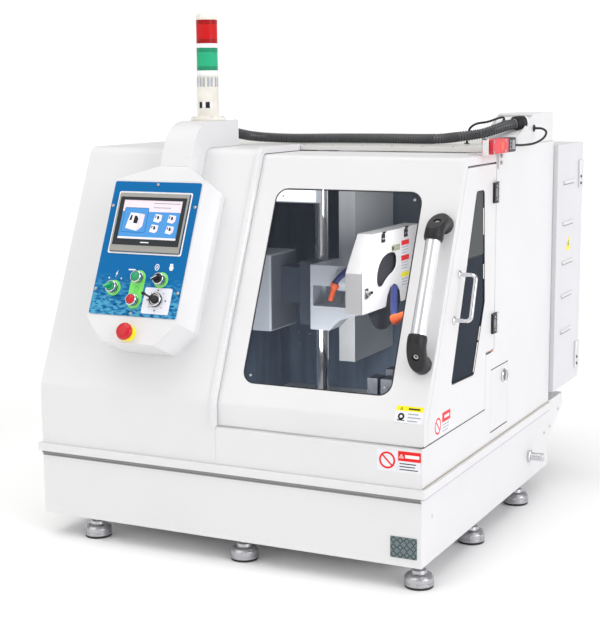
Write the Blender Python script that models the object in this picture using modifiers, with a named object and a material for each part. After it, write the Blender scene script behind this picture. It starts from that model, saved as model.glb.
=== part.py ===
"""Automatic abrasive cut-off machine: sheet-steel enclosure on a plinth, sliding and
hinged doors, leaning control box, signal tower, rear cabinet and a wheel head inside."""

import math

import bmesh
import bpy
from mathutils import Matrix, Vector

# Driving dimensions, in metres. The overall box is centred on the origin, floor at z = 0.
BODY_WIDTH = 1.050
BODY_DEPTH = 0.995
FOOT_HEIGHT = 0.060
LIP_TOP = 0.187        # heights from here on are above the plinth's lower edge
SILL_TOP = 0.278
KNEE = 0.340
ROOF = 0.936
SLANT_RUN = 0.263      # how far the front leans back between the knee and the roof
RIGHT_FACE = 0.50785
FRONT_FACE = -0.5991
SHEET = 0.002
GAP = 0.0003

OPENING = 0.536        # the doorway's left edge, measured from the right face
TOP_RAIL = 0.477       # where the roof starts behind the sliding door
DOOR_INSET = 0.014
DOOR_RETURN = 0.021
SIDE_DOOR_BACK = 0.4955
KNEE_RADIUS = 0.040
BROW_RADIUS = 0.030

BOX_CENTRE = 0.745     # control box, measured from the right face
BOX_HALF = 0.129
BOX_DEPTH = 0.110
PLATE_FACE = BOX_DEPTH + GAP + SHEET
COLLAR_FACE = PLATE_FACE + 0.018
DUCT_CENTRE = 0.738
DUCT_HALF = 0.043
DUCT_RISE = 0.068
CABINET_OVERHANG = 0.013
CABINET_DEPTH = 0.240

WHEEL_AXIS_BACK = 0.490
WHEEL_AXIS_UP = 0.583
GUARD_LEFT, GUARD_RIGHT = 0.327, 0.280
WHEEL_RIGHT = 0.300

SLANT = math.atan2(SLANT_RUN, ROOF - KNEE)


def from_right(distance):
    return RIGHT_FACE - distance


def from_front(distance):
    return FRONT_FACE + distance


def up(height):
    return FOOT_HEIGHT + height


LEFT_FACE = from_right(BODY_WIDTH)
BACK_FACE = from_front(BODY_DEPTH)


# ---- scene, materials and modelling helpers ----

for old in list(bpy.data.objects):
    bpy.data.objects.remove(old, do_unlink=True)

machine = bpy.data.collections.new("abrasive_cutting_machine")
cutters = bpy.data.collections.new("cutters")
bpy.context.scene.collection.children.link(machine)
bpy.context.scene.collection.children.link(cutters)

slant_frame = bpy.data.objects.new("slant_frame", None)
slant_frame.location = (0, FRONT_FACE, up(KNEE))
slant_frame.rotation_euler = (math.pi / 2 - SLANT, 0, 0)
machine.objects.link(slant_frame)


def material(name, colour, roughness, metallic=0.0, alpha=1.0):
    made = bpy.data.materials.new(name)
    made.use_nodes = True
    shader = made.node_tree.nodes["Principled BSDF"]
    shader.inputs["Base Color"].default_value = (*colour, 1)
    shader.inputs["Roughness"].default_value = roughness
    shader.inputs["Metallic"].default_value = metallic
    shader.inputs["Alpha"].default_value = alpha
    return made


WHITE = material("white_powder_coat", (0.86, 0.85, 0.84), 0.45)
PANEL_BLUE = material("panel_blue", (0.0, 0.16, 0.46), 0.35)
BLACK = material("black_plastic", (0.02, 0.02, 0.022), 0.4)
DARK = material("dark_liner", (0.07, 0.08, 0.11), 0.5)
GLAZING = material("clear_glazing", (0.35, 0.4, 0.45), 0.05, alpha=0.25)
CHROME = material("chrome", (0.8, 0.8, 0.82), 0.1, 1.0)
STEEL = material("steel", (0.55, 0.55, 0.56), 0.35, 1.0)
ALUMINIUM = material("aluminium", (0.85, 0.86, 0.88), 0.3, 1.0)
RED = material("red_plastic", (0.6, 0.02, 0.03), 0.3)
GREEN = material("green_plastic", (0.0, 0.35, 0.12), 0.3)
YELLOW = material("yellow_plastic", (0.85, 0.7, 0.02), 0.4)
PALE = material("pale_grey_paint", (0.6, 0.62, 0.66), 0.4)
ABRASIVE = material("abrasive", (0.05, 0.045, 0.045), 0.9)


def add_mesh(name, mesh, frame=None):
    """Put a mesh, given in its frame's coordinates, on an object centred on its own bounds."""
    piece = bpy.data.objects.new(name, mesh)
    piece.parent = frame
    machine.objects.link(piece)
    corners = [Vector(corner) for corner in piece.bound_box]
    set_origin(piece, (corners[0] + corners[6]) / 2)
    return piece


def set_origin(piece, point):
    """Move the piece's origin, in its frame's coordinates, without moving its surface."""
    shift = Vector(point) - piece.location
    piece.data.transform(Matrix.Translation(-shift))
    piece.location = Vector(point)
    return piece


def smooth(piece):
    piece.data.shade_smooth()
    piece.data.set_sharp_from_angle(angle=math.radians(35))
    return piece


def paint(piece, look):
    piece.data.materials.clear()
    piece.data.materials.append(look)
    return piece


def box(name, low, high, frame=None):
    mesh = bpy.data.meshes.new(name)
    shape = bmesh.new()
    bmesh.ops.create_cube(shape, size=1)
    size = Vector(high) - Vector(low)
    middle = (Vector(high) + Vector(low)) / 2
    place = Matrix.Translation(middle) @ Matrix.Diagonal((*size, 1))
    bmesh.ops.transform(shape, matrix=place, verts=shape.verts)
    shape.to_mesh(mesh)
    shape.free()
    return add_mesh(name, mesh, frame)


def rod(name, start, end, radius, sides=24, frame=None, end_radius=None):
    """A cylinder, or a cone when end_radius differs, between two points."""
    mesh = bpy.data.meshes.new(name)
    shape = bmesh.new()
    start, end = Vector(start), Vector(end)
    top = radius if end_radius is None else end_radius
    bmesh.ops.create_cone(shape, cap_ends=True, segments=sides, radius1=radius, radius2=top,
                          depth=(end - start).length)
    turn = Vector((0, 0, 1)).rotation_difference(end - start).to_matrix().to_4x4()
    bmesh.ops.transform(shape, matrix=Matrix.Translation((start + end) / 2) @ turn, verts=shape.verts)
    shape.to_mesh(mesh)
    shape.free()
    return smooth(add_mesh(name, mesh, frame))


def curve_to_mesh(name, curve_object, frame):
    """Weld a curve's evaluated surface into a mesh object and remove the curve."""
    bpy.context.view_layer.update()
    evaluated = curve_object.evaluated_get(bpy.context.evaluated_depsgraph_get())
    mesh = bpy.data.meshes.new_from_object(evaluated)
    mesh.transform(curve_object.matrix_basis)
    shape = bmesh.new()
    shape.from_mesh(mesh)
    bmesh.ops.remove_doubles(shape, verts=shape.verts, dist=0.00001)
    shape.to_mesh(mesh)
    shape.free()
    bpy.data.objects.remove(curve_object, do_unlink=True)
    return add_mesh(name, mesh, frame)


PLANE_TURNS = {
    "XY": (0, 0, 0),
    "XZ": (math.pi / 2, 0, 0),
    "YZ": (math.pi / 2, 0, math.pi / 2),
}


def plate(name, outlines, plane, low, high, frame=None):
    """A flat outline, with holes as further outlines, thickened between two levels."""
    curve = bpy.data.curves.new(name, "CURVE")
    curve.dimensions = "2D"
    curve.fill_mode = "BOTH"
    curve.extrude = (high - low) / 2
    for outline in outlines:
        line = curve.splines.new("POLY")
        line.points.add(len(outline) - 1)
        for point, (across, along) in zip(line.points, outline):
            point.co = (across, along, 0, 1)
        line.use_cyclic_u = True
    holder = bpy.data.objects.new(name + "_outline", curve)
    machine.objects.link(holder)
    level = (high + low) / 2
    holder.location = {"XY": (0, 0, level), "XZ": (0, level, 0), "YZ": (level, 0, 0)}[plane]
    holder.rotation_euler = PLANE_TURNS[plane]
    return curve_to_mesh(name, holder, frame)


def turned(name, profile, base, axis=(0, 0, 1), steps=24, frame=None):
    """Spin a (radius, height) profile, listed from top to bottom, about an axis."""
    mesh = bpy.data.meshes.new(name)
    shape = bmesh.new()
    points = [shape.verts.new((radius, 0, height)) for radius, height in profile]
    for first, second in zip(points, points[1:]):
        shape.edges.new((first, second))
    shape.to_mesh(mesh)
    shape.free()
    piece = bpy.data.objects.new(name, mesh)
    piece.parent = frame
    piece.location = base
    piece.rotation_euler = Vector((0, 0, 1)).rotation_difference(Vector(axis)).to_euler()
    machine.objects.link(piece)
    screw = piece.modifiers.new("Spin", "SCREW")
    screw.axis = "Z"
    screw.steps = steps
    screw.render_steps = steps
    screw.use_merge_vertices = True
    screw.merge_threshold = 0.00005
    screw.use_smooth_shade = True
    return piece


def bar(name, points, radius, resolution=3, frame=None):
    """A round bar or wire through a list of points."""
    curve = bpy.data.curves.new(name, "CURVE")
    curve.dimensions = "3D"
    curve.bevel_depth = radius
    curve.bevel_resolution = resolution
    curve.use_fill_caps = True
    line = curve.splines.new("POLY")
    line.points.add(len(points) - 1)
    for point, place in zip(line.points, points):
        point.co = (*place, 1)
    holder = bpy.data.objects.new(name + "_line", curve)
    machine.objects.link(holder)
    return smooth(curve_to_mesh(name, holder, frame))


def combine(target, operation, tools):
    """Join or cut the target with helper solids, which move to the cutters."""
    for tool in tools:
        step = target.modifiers.new(operation.title(), "BOOLEAN")
        step.operation = operation
        step.object = tool
        step.solver = "EXACT"
        machine.objects.unlink(tool)
        cutters.objects.link(tool)
        tool.hide_render = True
        tool.display_type = "WIRE"
    return target


def join(target, *tools):
    return combine(target, "UNION", tools)


def cut(target, *tools):
    return combine(target, "DIFFERENCE", tools)


# ---- outlines shared by several sub-parts ----

def rounded(corners, radii, steps=5):
    """A polyline or outline whose corners become arcs; a radius of 0 keeps the corner."""
    points = []
    for index, (corner, radius) in enumerate(zip(corners, radii)):
        here = Vector(corner)
        if radius <= 0:
            points.append(tuple(here))
            continue
        before = (Vector(corners[index - 1]) - here).normalized()
        after = (Vector(corners[(index + 1) % len(corners)]) - here).normalized()
        half = before.angle(after) / 2
        centre = here + (before + after).normalized() * (radius / math.sin(half))
        reach = radius / math.tan(half)
        start = here + before * reach - centre
        sweep = start.angle_signed(here + after * reach - centre)
        for step in range(steps + 1):
            points.append(tuple(centre + Matrix.Rotation(-sweep * step / steps, 2) @ start))
    return points


def rectangle(left, bottom, right, top, radius=0.0, steps=5):
    corners = [(left, bottom), (right, bottom), (right, top), (left, top)]
    return rounded(corners, [radius] * 4, steps)


def circle(across, along, radius, sides=24):
    turn = 2 * math.pi / sides
    return [(across + radius * math.cos(turn * n), along + radius * math.sin(turn * n))
            for n in range(sides)]


def slant_point(along, out):
    """(y, z) of a point on the leaning front: distance up from the knee, distance outward."""
    return (FRONT_FACE + along * math.sin(SLANT) - out * math.cos(SLANT),
            up(KNEE) + along * math.cos(SLANT) + out * math.sin(SLANT))


def front_line(inset, back, low=None, start_along=None):
    """The front-and-roof line at a depth below the skin, from the bottom to the back."""
    tight = 0.0015
    knee = (from_front(inset), up(KNEE) - inset * math.tan(SLANT / 2))
    lean = (math.pi / 2 - SLANT) / 2
    brow = (from_front(SLANT_RUN) + inset * math.tan(lean), up(ROOF) - inset)
    end = (back, up(ROOF) - inset)
    brow_radius = max(BROW_RADIUS - inset, tight)
    if start_along is not None:
        corners = [slant_point(start_along, -inset), brow, end]
        return rounded(corners, [0, brow_radius, 0], 8)
    corners = [(from_front(inset), low), knee, brow, end]
    return rounded(corners, [0, max(KNEE_RADIUS - inset, tight), brow_radius, 0], 5)


def front_band(inset, depth, back, **start):
    """A closed band between two such lines."""
    return front_line(inset, back, **start) + front_line(inset + depth, back, **start)[::-1]


# ---- base ----

def base_plinth():
    low, top = up(0), up(LIP_TOP)
    lip, reach, wall = 0.020, 0.009, 0.003
    outer = rectangle(LEFT_FACE, FRONT_FACE, RIGHT_FACE, BACK_FACE)
    inner = rectangle(LEFT_FACE + wall, FRONT_FACE + wall, RIGHT_FACE - wall, BACK_FACE - wall)
    flange = 0.150
    middle = rectangle(LEFT_FACE + flange, FRONT_FACE + flange, RIGHT_FACE - flange, BACK_FACE - flange)
    base = plate("base_plinth", [outer, inner], "XY", low, top - lip / 2)
    ring = plate("plinth_bottom", [outer, middle], "XY", low, low + 0.004)
    cover = box("plinth_cover", (LEFT_FACE - reach, FRONT_FACE - reach, top - lip),
                (RIGHT_FACE + reach, BACK_FACE, top))
    shelf_back = from_front(1.140)
    shelf = box("rear_shelf", (LEFT_FACE, BACK_FACE - wall, top - 0.004), (RIGHT_FACE, shelf_back, top))
    gusset = [(BACK_FACE - wall, top - 0.001), (shelf_back, top - 0.001), (from_front(1.150), up(0.150)),
              (BACK_FACE - wall, up(0.080))]
    right_gusset = plate("right_gusset", [gusset], "YZ", RIGHT_FACE - wall, RIGHT_FACE)
    left_gusset = plate("left_gusset", [gusset], "YZ", LEFT_FACE, LEFT_FACE + wall)
    nipple_at = (from_front(0.812), up(0.070))
    nipple = rod("drain_nipple", (RIGHT_FACE - wall, *nipple_at), (RIGHT_FACE + 0.043, *nipple_at), 0.010)
    nut = rod("nipple_nut", (RIGHT_FACE - wall, *nipple_at), (RIGHT_FACE + 0.008, *nipple_at), 0.016, 6)
    return paint(join(base, ring, cover, shelf, right_gusset, left_gusset, nut, nipple), WHITE)


def levelling_feet():
    profile = [(0, 0.0597), (0.008, 0.0597), (0.008, 0.047), (0.019, 0.045), (0.021, 0.036),
               (0.030, 0.030), (0.0335, 0.023), (0.035, 0.006), (0.034, 0), (0, 0)]
    columns = (0.025, 0.487, 0.920)
    rows = (0.050, 0.410, 0.780)
    number = 1
    for row in rows:
        for column in columns:
            if row == rows[1] and column == columns[1]:
                continue
            foot = turned(f"foot_{number}", profile, (from_right(column), from_front(row), 0), steps=20)
            paint(foot, STEEL)
            number += 1


# ---- enclosure ----

def left_shell():
    low = up(LIP_TOP) + GAP
    rail = from_front(TOP_RAIL)
    shell = plate("left_shell", [front_band(0, SHEET, rail, low=low)], "YZ", LEFT_FACE,
                  from_right(OPENING))
    side = front_line(0, rail, low=low) + [(rail, up(ROOF) - SHEET - GAP),
                                           (BACK_FACE, up(ROOF) - SHEET - GAP), (BACK_FACE, low)]
    wall = plate("left_wall", [side], "YZ", LEFT_FACE, LEFT_FACE + SHEET)
    trim_width, trim_rise = 0.012, 0.004
    trim = plate("opening_trim", [front_band(-trim_rise, trim_rise + 0.001, rail, low=up(SILL_TOP))],
                 "YZ", from_right(OPENING + trim_width), from_right(OPENING))
    return paint(join(shell, wall, trim), WHITE)


def roof_panel():
    rail = from_front(TOP_RAIL) + GAP
    roof = box("roof_panel", (LEFT_FACE, rail, up(ROOF) - SHEET), (RIGHT_FACE, BACK_FACE, up(ROOF)))
    flange = box("roof_flange", (from_right(OPENING) + GAP, rail, up(ROOF) - 0.011),
                 (RIGHT_FACE - SHEET, rail + SHEET, up(ROOF) - 0.001))
    return paint(join(roof, flange), WHITE)


HINGE_LEVELS = (0.826, 0.496)


def hinge_leaves(side):
    """Two raised hinge leaves on the door (-1) or on the fixed panel (+1)."""
    line = from_front(0.4973)
    near, far = line + side * 0.0008, line + side * (0.030 if side < 0 else 0.008)
    return [box("hinge_leaf", (RIGHT_FACE - 0.001, min(near, far), up(level) - 0.026),
                (RIGHT_FACE + 0.007, max(near, far), up(level) + 0.026)) for level in HINGE_LEVELS]


FLAP_BACK, FLAP_FRONT, FLAP_LOW, FLAP_TOP = 0.613, 0.476, 0.212, 0.376


def right_side_panel():
    low, top = up(LIP_TOP) + GAP, up(ROOF) - SHEET - GAP
    step, notch = up(0.427), from_front(0.432)
    edge = from_front(0.499)
    outline = [(FRONT_FACE, low), (BACK_FACE, low), (BACK_FACE, top), (edge, top), (edge, step),
               (notch, step), (notch, up(0.282)), (FRONT_FACE, up(0.282))]
    doorway = rectangle(from_front(FLAP_FRONT), up(FLAP_LOW), from_front(FLAP_BACK), up(FLAP_TOP))
    panel = plate("right_side_panel", [outline, doorway], "YZ", RIGHT_FACE - SHEET, RIGHT_FACE)
    return paint(join(panel, *hinge_leaves(1)), WHITE)


def front_sill():
    low, top = up(LIP_TOP) + GAP, up(SILL_TOP)
    ledge = from_front(0.045)
    section = [(FRONT_FACE, low), (FRONT_FACE + SHEET, low), (FRONT_FACE + SHEET, top - SHEET),
               (ledge, top - SHEET), (ledge, top), (FRONT_FACE, top)]
    return paint(plate("front_sill", [section], "YZ", from_right(OPENING) + GAP,
                       RIGHT_FACE - SHEET - GAP), WHITE)


def back_panel():
    low, top = up(LIP_TOP) + GAP, up(ROOF) - SHEET - GAP
    return paint(box("back_panel", (LEFT_FACE + SHEET + GAP, BACK_FACE - SHEET, low),
                     (RIGHT_FACE - SHEET - GAP, BACK_FACE, top)), WHITE)


def chamber_liner():
    low, top = up(LIP_TOP) + GAP, up(ROOF) - 0.050
    back = from_front(0.930)
    front = [point for point in front_line(0.075, back, low=low) if point[1] < up(0.800)]
    side = front + [(from_front(0.330), top), (back, top), (back, low)]
    liner = plate("chamber_liner", [side], "YZ", from_right(0.800), from_right(0.800) + SHEET)
    rear = box("liner_back", (from_right(0.800), back - SHEET, low), (from_right(0.004), back, top))
    return paint(join(liner, rear), DARK)


def splash_shield():
    low, top = up(0.330), up(ROOF) - SHEET - GAP
    section = [(from_right(0.502), from_front(0.645)), (from_right(0.454), from_front(0.645)),
               (from_right(0.454), from_front(0.920)), (from_right(0.4555), from_front(0.920)),
               (from_right(0.4555), from_front(0.6465)), (from_right(0.502), from_front(0.6465))]
    return paint(plate("splash_shield", [section], "XY", low, top), STEEL)


# ---- cable duct, terminal box and wiring ----

def cable_duct():
    back, wall = from_front(0.430), 0.002
    foot = 0.5763
    left, right = from_right(DUCT_CENTRE + DUCT_HALF), from_right(DUCT_CENTRE - DUCT_HALF)
    outer = front_band(-DUCT_RISE, DUCT_RISE - GAP, back, start_along=foot)
    inner = front_band(wall - DUCT_RISE, DUCT_RISE, back - wall, start_along=foot - 0.01)
    duct = plate("cable_duct", [outer], "YZ", left, right)
    hollow = plate("duct_hollow", [inner], "YZ", left + wall, right - wall)
    return paint(cut(duct, hollow), WHITE)


TERMINAL_LEFT = 0.098
TERMINAL_FOOT, TERMINAL_BROW, TERMINAL_BACK = 0.664, 0.801, 0.982
TERMINAL_STEP, TERMINAL_TOP = 0.953, 1.014


def terminal_box():
    low = up(ROOF) + GAP
    outline = [(from_front(TERMINAL_FOOT), low), (from_front(TERMINAL_BACK), low),
               (from_front(TERMINAL_BACK), up(TERMINAL_TOP)), (from_front(TERMINAL_BROW), up(TERMINAL_TOP)),
               (from_front(TERMINAL_FOOT), up(TERMINAL_STEP))]
    housing = plate("terminal_box", [outline], "YZ", from_right(TERMINAL_LEFT), from_right(0))
    hollow = box("terminal_hollow", (from_right(TERMINAL_LEFT - 0.003), from_front(0.730), low - 0.01),
                 (from_right(0.003), from_front(TERMINAL_BACK - 0.003), up(0.962)))
    along = Vector((TERMINAL_BROW - TERMINAL_FOOT, TERMINAL_TOP - TERMINAL_STEP)).normalized()
    out = Vector((-along.y, along.x))
    foot, brow = Vector((TERMINAL_FOOT, TERMINAL_STEP)), Vector((TERMINAL_BROW, TERMINAL_TOP))
    recess = [foot - along * 0.02 + out * 0.01, foot - along * 0.02 - out * 0.006,
              brow - along * 0.008 - out * 0.006, brow - along * 0.008 + out * 0.01]
    face_cut = plate("face_recess", [[(from_front(front), up(height)) for front, height in recess]], "YZ",
                     from_right(TERMINAL_LEFT - 0.003), from_right(0.003))
    glands = [rod("conduit_gland", CONDUIT_GLAND, CONDUIT_MOUTH, 0.0165),
              rod("sensor_gland", SENSOR_GLAND, SENSOR_MOUTH, 0.0050, 16)]
    return paint(join(cut(housing, hollow, face_cut), *glands), WHITE)


def smooth_route(points, spacing):
    """Points about one spacing apart along a smooth curve through a route's own points."""
    places = [Vector(point) for point in points]
    places = [2 * places[0] - places[1]] + places + [2 * places[-1] - places[-2]]
    route = []
    for one, two, three, four in zip(places, places[1:], places[2:], places[3:]):
        count = max(1, round((three - two).length / spacing))
        for step in range(count):
            t = step / count
            linear, square = three - one, 2 * one - 5 * two + 4 * three - four
            cube = 3 * two - one - 3 * three + four
            route.append(0.5 * (2 * two + linear * t + square * t ** 2 + cube * t ** 3))
    return route + [places[-2]]


def machine_point(right, front, height):
    return (from_right(right), from_front(front), up(height))


CONDUIT_GLAND = machine_point(0.0080, 0.7520, 0.9925)
CONDUIT_MOUTH = machine_point(0.0285, 0.7220, 0.9885)
SENSOR_GLAND = machine_point(0.0715, 0.7704, 0.9850)
SENSOR_MOUTH = machine_point(0.0715, 0.7655, 0.9960)
CONDUIT_ROUTE = [
    machine_point(0.732, 0.4304, 0.969), machine_point(0.732, 0.470, 0.969),
    machine_point(0.700, 0.530, 0.957), machine_point(0.620, 0.588, 0.9505),
    machine_point(0.500, 0.622, 0.9505), machine_point(0.360, 0.640, 0.9505),
    machine_point(0.220, 0.646, 0.9505), machine_point(0.150, 0.646, 0.957),
    machine_point(0.097, 0.655, 0.9645), machine_point(0.070, 0.670, 0.9730),
    machine_point(0.0465, 0.6950, 0.9830), machine_point(0.0298, 0.7200, 0.9883),
]
SENSOR_ROUTE = [
    machine_point(0.0715, 0.76533, 0.99638), machine_point(0.0715, 0.7620, 1.0038),
    machine_point(0.078, 0.742, 1.003), machine_point(0.098, 0.714, 0.994),
    machine_point(0.128, 0.702, 0.988), machine_point(0.146, 0.700, 0.972),
    machine_point(0.152, 0.700, 0.9366),
]
INTERLOCK_ROUTE = [
    machine_point(-0.019, 0.5473, 0.942), machine_point(-0.0195, 0.590, 0.939),
    machine_point(-0.022, 0.650, 0.937), machine_point(-0.030, 0.712, 0.939),
    machine_point(-0.039, 0.760, 0.950), machine_point(-0.039, 0.787, 0.965),
    machine_point(-0.024, 0.799, 0.974), machine_point(-0.0003, 0.801, 0.975),
]


def wiring():
    paint(bar("conduit", smooth_route(CONDUIT_ROUTE, 0.030), 0.0135, 3), BLACK)
    paint(bar("sensor_cable", smooth_route(SENSOR_ROUTE, 0.012), 0.003, 2), BLACK)
    paint(bar("interlock_cable", smooth_route(INTERLOCK_ROUTE, 0.012), 0.003, 2), BLACK)


SWITCH_IN, SWITCH_OUT = -0.004, -0.034
SWITCH_FRONT, SWITCH_BACK, SWITCH_LOW, SWITCH_TOP = 0.348, 0.547, 0.925, 0.961


def interlock_switch():
    body = box("interlock_switch", machine_point(SWITCH_IN, SWITCH_FRONT, SWITCH_LOW),
               machine_point(SWITCH_OUT, SWITCH_BACK, SWITCH_TOP))
    bracket = box("switch_bracket", machine_point(-GAP, 0.502, 0.882),
                  machine_point(SWITCH_IN - 0.001, 0.540, SWITCH_TOP - 0.003))
    slot = box("key_slot", machine_point(0, 0.4170, 0.938), machine_point(-0.018, 0.4380, 0.946))
    return paint(cut(join(body, bracket), slot), RED)


def interlock_key():
    top = up(ROOF - DOOR_INSET) + GAP
    foot = box("interlock_key", (from_right(0.042), from_front(0.404), top),
               (from_right(0.003), from_front(0.451), top + 0.003))
    upright = box("key_upright", (from_right(0.006), from_front(0.404), top + 0.001),
                  (from_right(0.003), from_front(0.451), up(0.958)))
    tongue = box("key_tongue", (from_right(0.004), from_front(0.4200), up(0.9405)),
                 (from_right(-0.014), from_front(0.4350), up(0.9435)))
    return paint(join(foot, upright, tongue), STEEL)


# ---- control box and its controls, in the leaning front's frame ----

def control_box():
    left, right = from_right(BOX_CENTRE) - BOX_HALF, from_right(BOX_CENTRE) + BOX_HALF
    low_half, low, shoulder, top, wall = 0.074, 0.1045, 0.163, 0.523, 0.003
    middle = from_right(BOX_CENTRE)
    outline = [(middle - low_half, low), (middle + low_half, low), (right, shoulder), (right, top),
               (left, top), (left, shoulder)]
    housing = plate("control_box", [outline], "XY", GAP, BOX_DEPTH, slant_frame)
    crown = box("box_crown", (left, top - 0.0005, GAP), (right, 0.576, BOX_DEPTH), slant_frame)
    duct_left, duct_right = from_right(DUCT_CENTRE) - DUCT_HALF, from_right(DUCT_CENTRE) + DUCT_HALF
    for vertex in crown.data.vertices:
        if vertex.co.y > 0:
            side = duct_left if vertex.co.x < 0 else duct_right
            vertex.co.x = side - crown.location.x
            if vertex.co.z > 0:
                vertex.co.z = DUCT_RISE - crown.location.z
    inner = [(middle - low_half + wall, low + wall), (middle + low_half - wall, low + wall),
             (right - wall, shoulder + wall), (right - wall, top - wall), (left + wall, top - wall),
             (left + wall, shoulder + wall)]
    hollow = plate("box_hollow", [inner], "XY", -0.01, BOX_DEPTH - wall, slant_frame)
    return paint(cut(join(housing, crown), hollow), WHITE)


SWITCH_PLACES = {
    "start_button": (0.7465, 0.2685),
    "stop_button": (0.7470, 0.2105),
    "power_selector": (0.8130, 0.2400),
    "mode_selector": (0.6820, 0.2665),
}


def control_plate():
    outline = rectangle(from_right(0.871), 0.1720, from_right(0.621), 0.5175)
    face = plate("control_plate", [outline], "XY", BOX_DEPTH + GAP, PLATE_FACE, slant_frame)
    collars, bores = [], []
    for right, along in SWITCH_PLACES.values():
        across = from_right(right)
        collars.append(rod("collar", (across, along, PLATE_FACE - 0.001), (across, along, COLLAR_FACE),
                           0.0148, 24, slant_frame))
        bores.append(rod("collar_bore", (across, along, PLATE_FACE + 0.0005),
                         (across, along, COLLAR_FACE + 0.002), 0.0120, 24, slant_frame))
    return paint(cut(join(face, *collars), *bores), PANEL_BLUE)


def touch_panel():
    outline = rectangle(from_right(0.8525), 0.3280, from_right(0.6395), 0.4910, 0.004, 3)
    return paint(plate("touch_panel", [outline], "XY", PLATE_FACE + GAP, PLATE_FACE + 0.0065,
                       slant_frame), BLACK)


def push_buttons():
    for name, look in (("start_button", GREEN), ("stop_button", RED)):
        right, along = SWITCH_PLACES[name]
        across = from_right(right)
        paint(rod(name, (across, along, COLLAR_FACE - 0.003), (across, along, COLLAR_FACE + 0.0045),
                  0.0114, 24, slant_frame), look)


def selectors():
    for name, look, turn in (("power_selector", GREEN, 30), ("mode_selector", BLACK, 30)):
        right, along = SWITCH_PLACES[name]
        across = from_right(right)
        knob = rod(name, (across, along, COLLAR_FACE - 0.003), (across, along, COLLAR_FACE + 0.004),
                   0.0114, 24, slant_frame)
        grip = box("selector_grip", (-0.0105, -0.0035, 0.003), (0.0105, 0.0035, 0.0145))
        grip.parent = slant_frame
        turned_grip = Matrix.Translation((across, along, COLLAR_FACE))
        turned_grip = turned_grip @ Matrix.Rotation(math.radians(turn), 4, "Z")
        grip.matrix_basis = turned_grip @ grip.matrix_basis
        paint(join(knob, grip), look)


def emergency_stop():
    across, along = from_right(BOX_CENTRE), 0.129
    face = BOX_DEPTH + GAP
    collar = rod("estop_collar", (across, along, face), (across, along, face + 0.012), 0.0205, 28,
                 slant_frame)
    bore = rod("estop_bore", (across, along, face + 0.002), (across, along, face + 0.020), 0.0100, 24,
               slant_frame)
    paint(cut(collar, bore), YELLOW)
    rim, top, stem_end = 0.0175, 0.030, 0.0075
    profile = [(0, top), (0.009, top - 0.0005), (0.0155, top - 0.002), (0.0198, top - 0.005),
               (0.0218, top - 0.009), (0.0212, rim), (0.0092, rim), (0.0092, stem_end), (0, stem_end)]
    paint(turned("estop_button", profile, (across, along, face), steps=28, frame=slant_frame), RED)


JOYSTICK_RIGHT, JOYSTICK_ALONG = 0.683, 0.215
JOYSTICK_PIVOT = PLATE_FACE + 0.0092


def joystick():
    across, along = from_right(JOYSTICK_RIGHT), JOYSTICK_ALONG
    face = PLATE_FACE + GAP
    outline = rectangle(from_right(0.7205), 0.1805, from_right(0.6435), 0.2465, 0.003, 2)
    base = plate("joystick_base", [outline], "XY", face, face + 0.0015, slant_frame)
    ring = rod("joystick_ring", (across, along, face + 0.001), (across, along, face + 0.0138), 0.0175, 28,
               slant_frame)
    well = rod("joystick_well", (across, along, face + 0.0018), (across, along, face + 0.020), 0.0142, 28,
               slant_frame)
    paint(cut(join(base, ring), well), BLACK)
    gimbal = rod("joystick_gimbal", (across, along, JOYSTICK_PIVOT - 0.0018),
                 (across, along, JOYSTICK_PIVOT + 0.0018), 0.0130, 24, slant_frame)
    past = 0.01
    hole = rod("gimbal_hole", (across, along, JOYSTICK_PIVOT - past), (across, along, JOYSTICK_PIVOT + past),
               0.0108, 24, slant_frame)
    paint(cut(gimbal, hole), STEEL)
    profile = [(0, 0.061), (0.0030, 0.0604), (0.0042, 0.058), (0.0042, 0.051), (0.0026, 0.047),
               (0.0026, 0.019), (0.0060, 0.014), (0.0088, 0.006), (0.0088, -0.0035), (0, -0.0035)]
    lever = turned("joystick_lever", profile, (across, along, JOYSTICK_PIVOT), steps=20,
                   frame=slant_frame)
    paint(lever, BLACK)


# ---- signal tower ----

def signal_tower():
    base = (from_right(DUCT_CENTRE), from_front(0.345), up(ROOF) + DUCT_RISE + GAP)
    flange, body, radius = 0.0495, 0.031, 0.029
    levels = (0.0110, 0.1300, 0.1950, 0.2730)
    paint(turned("tower_body", [(0, levels[1]), (body, levels[1]), (body, levels[0]), (flange, levels[0]),
                                (flange, 0), (0, 0)], base, steps=28), PALE)
    paint(turned("tower_green_lens", [(0, levels[2]), (radius, levels[2]), (radius, levels[1] + GAP),
                                      (0, levels[1] + GAP)], base, steps=28), GREEN)
    dome = [(0, levels[3]), (0.015, levels[3] - 0.001), (0.024, levels[3] - 0.004),
            (radius, levels[3] - 0.010)]
    paint(turned("tower_red_lens", dome + [(radius, levels[2] + GAP), (0, levels[2] + GAP)], base,
                 steps=28), RED)


# ---- sliding front door ----

WINDOW_LEFT, WINDOW_RIGHT, WINDOW_LOW, WINDOW_TOP = 0.4815, 0.0925, 0.058, 0.555
HANDLE_RIGHT, HANDLE_MIDDLE = 0.0277, 0.3065
DOOR_SKIN = -DOOR_INSET


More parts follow.
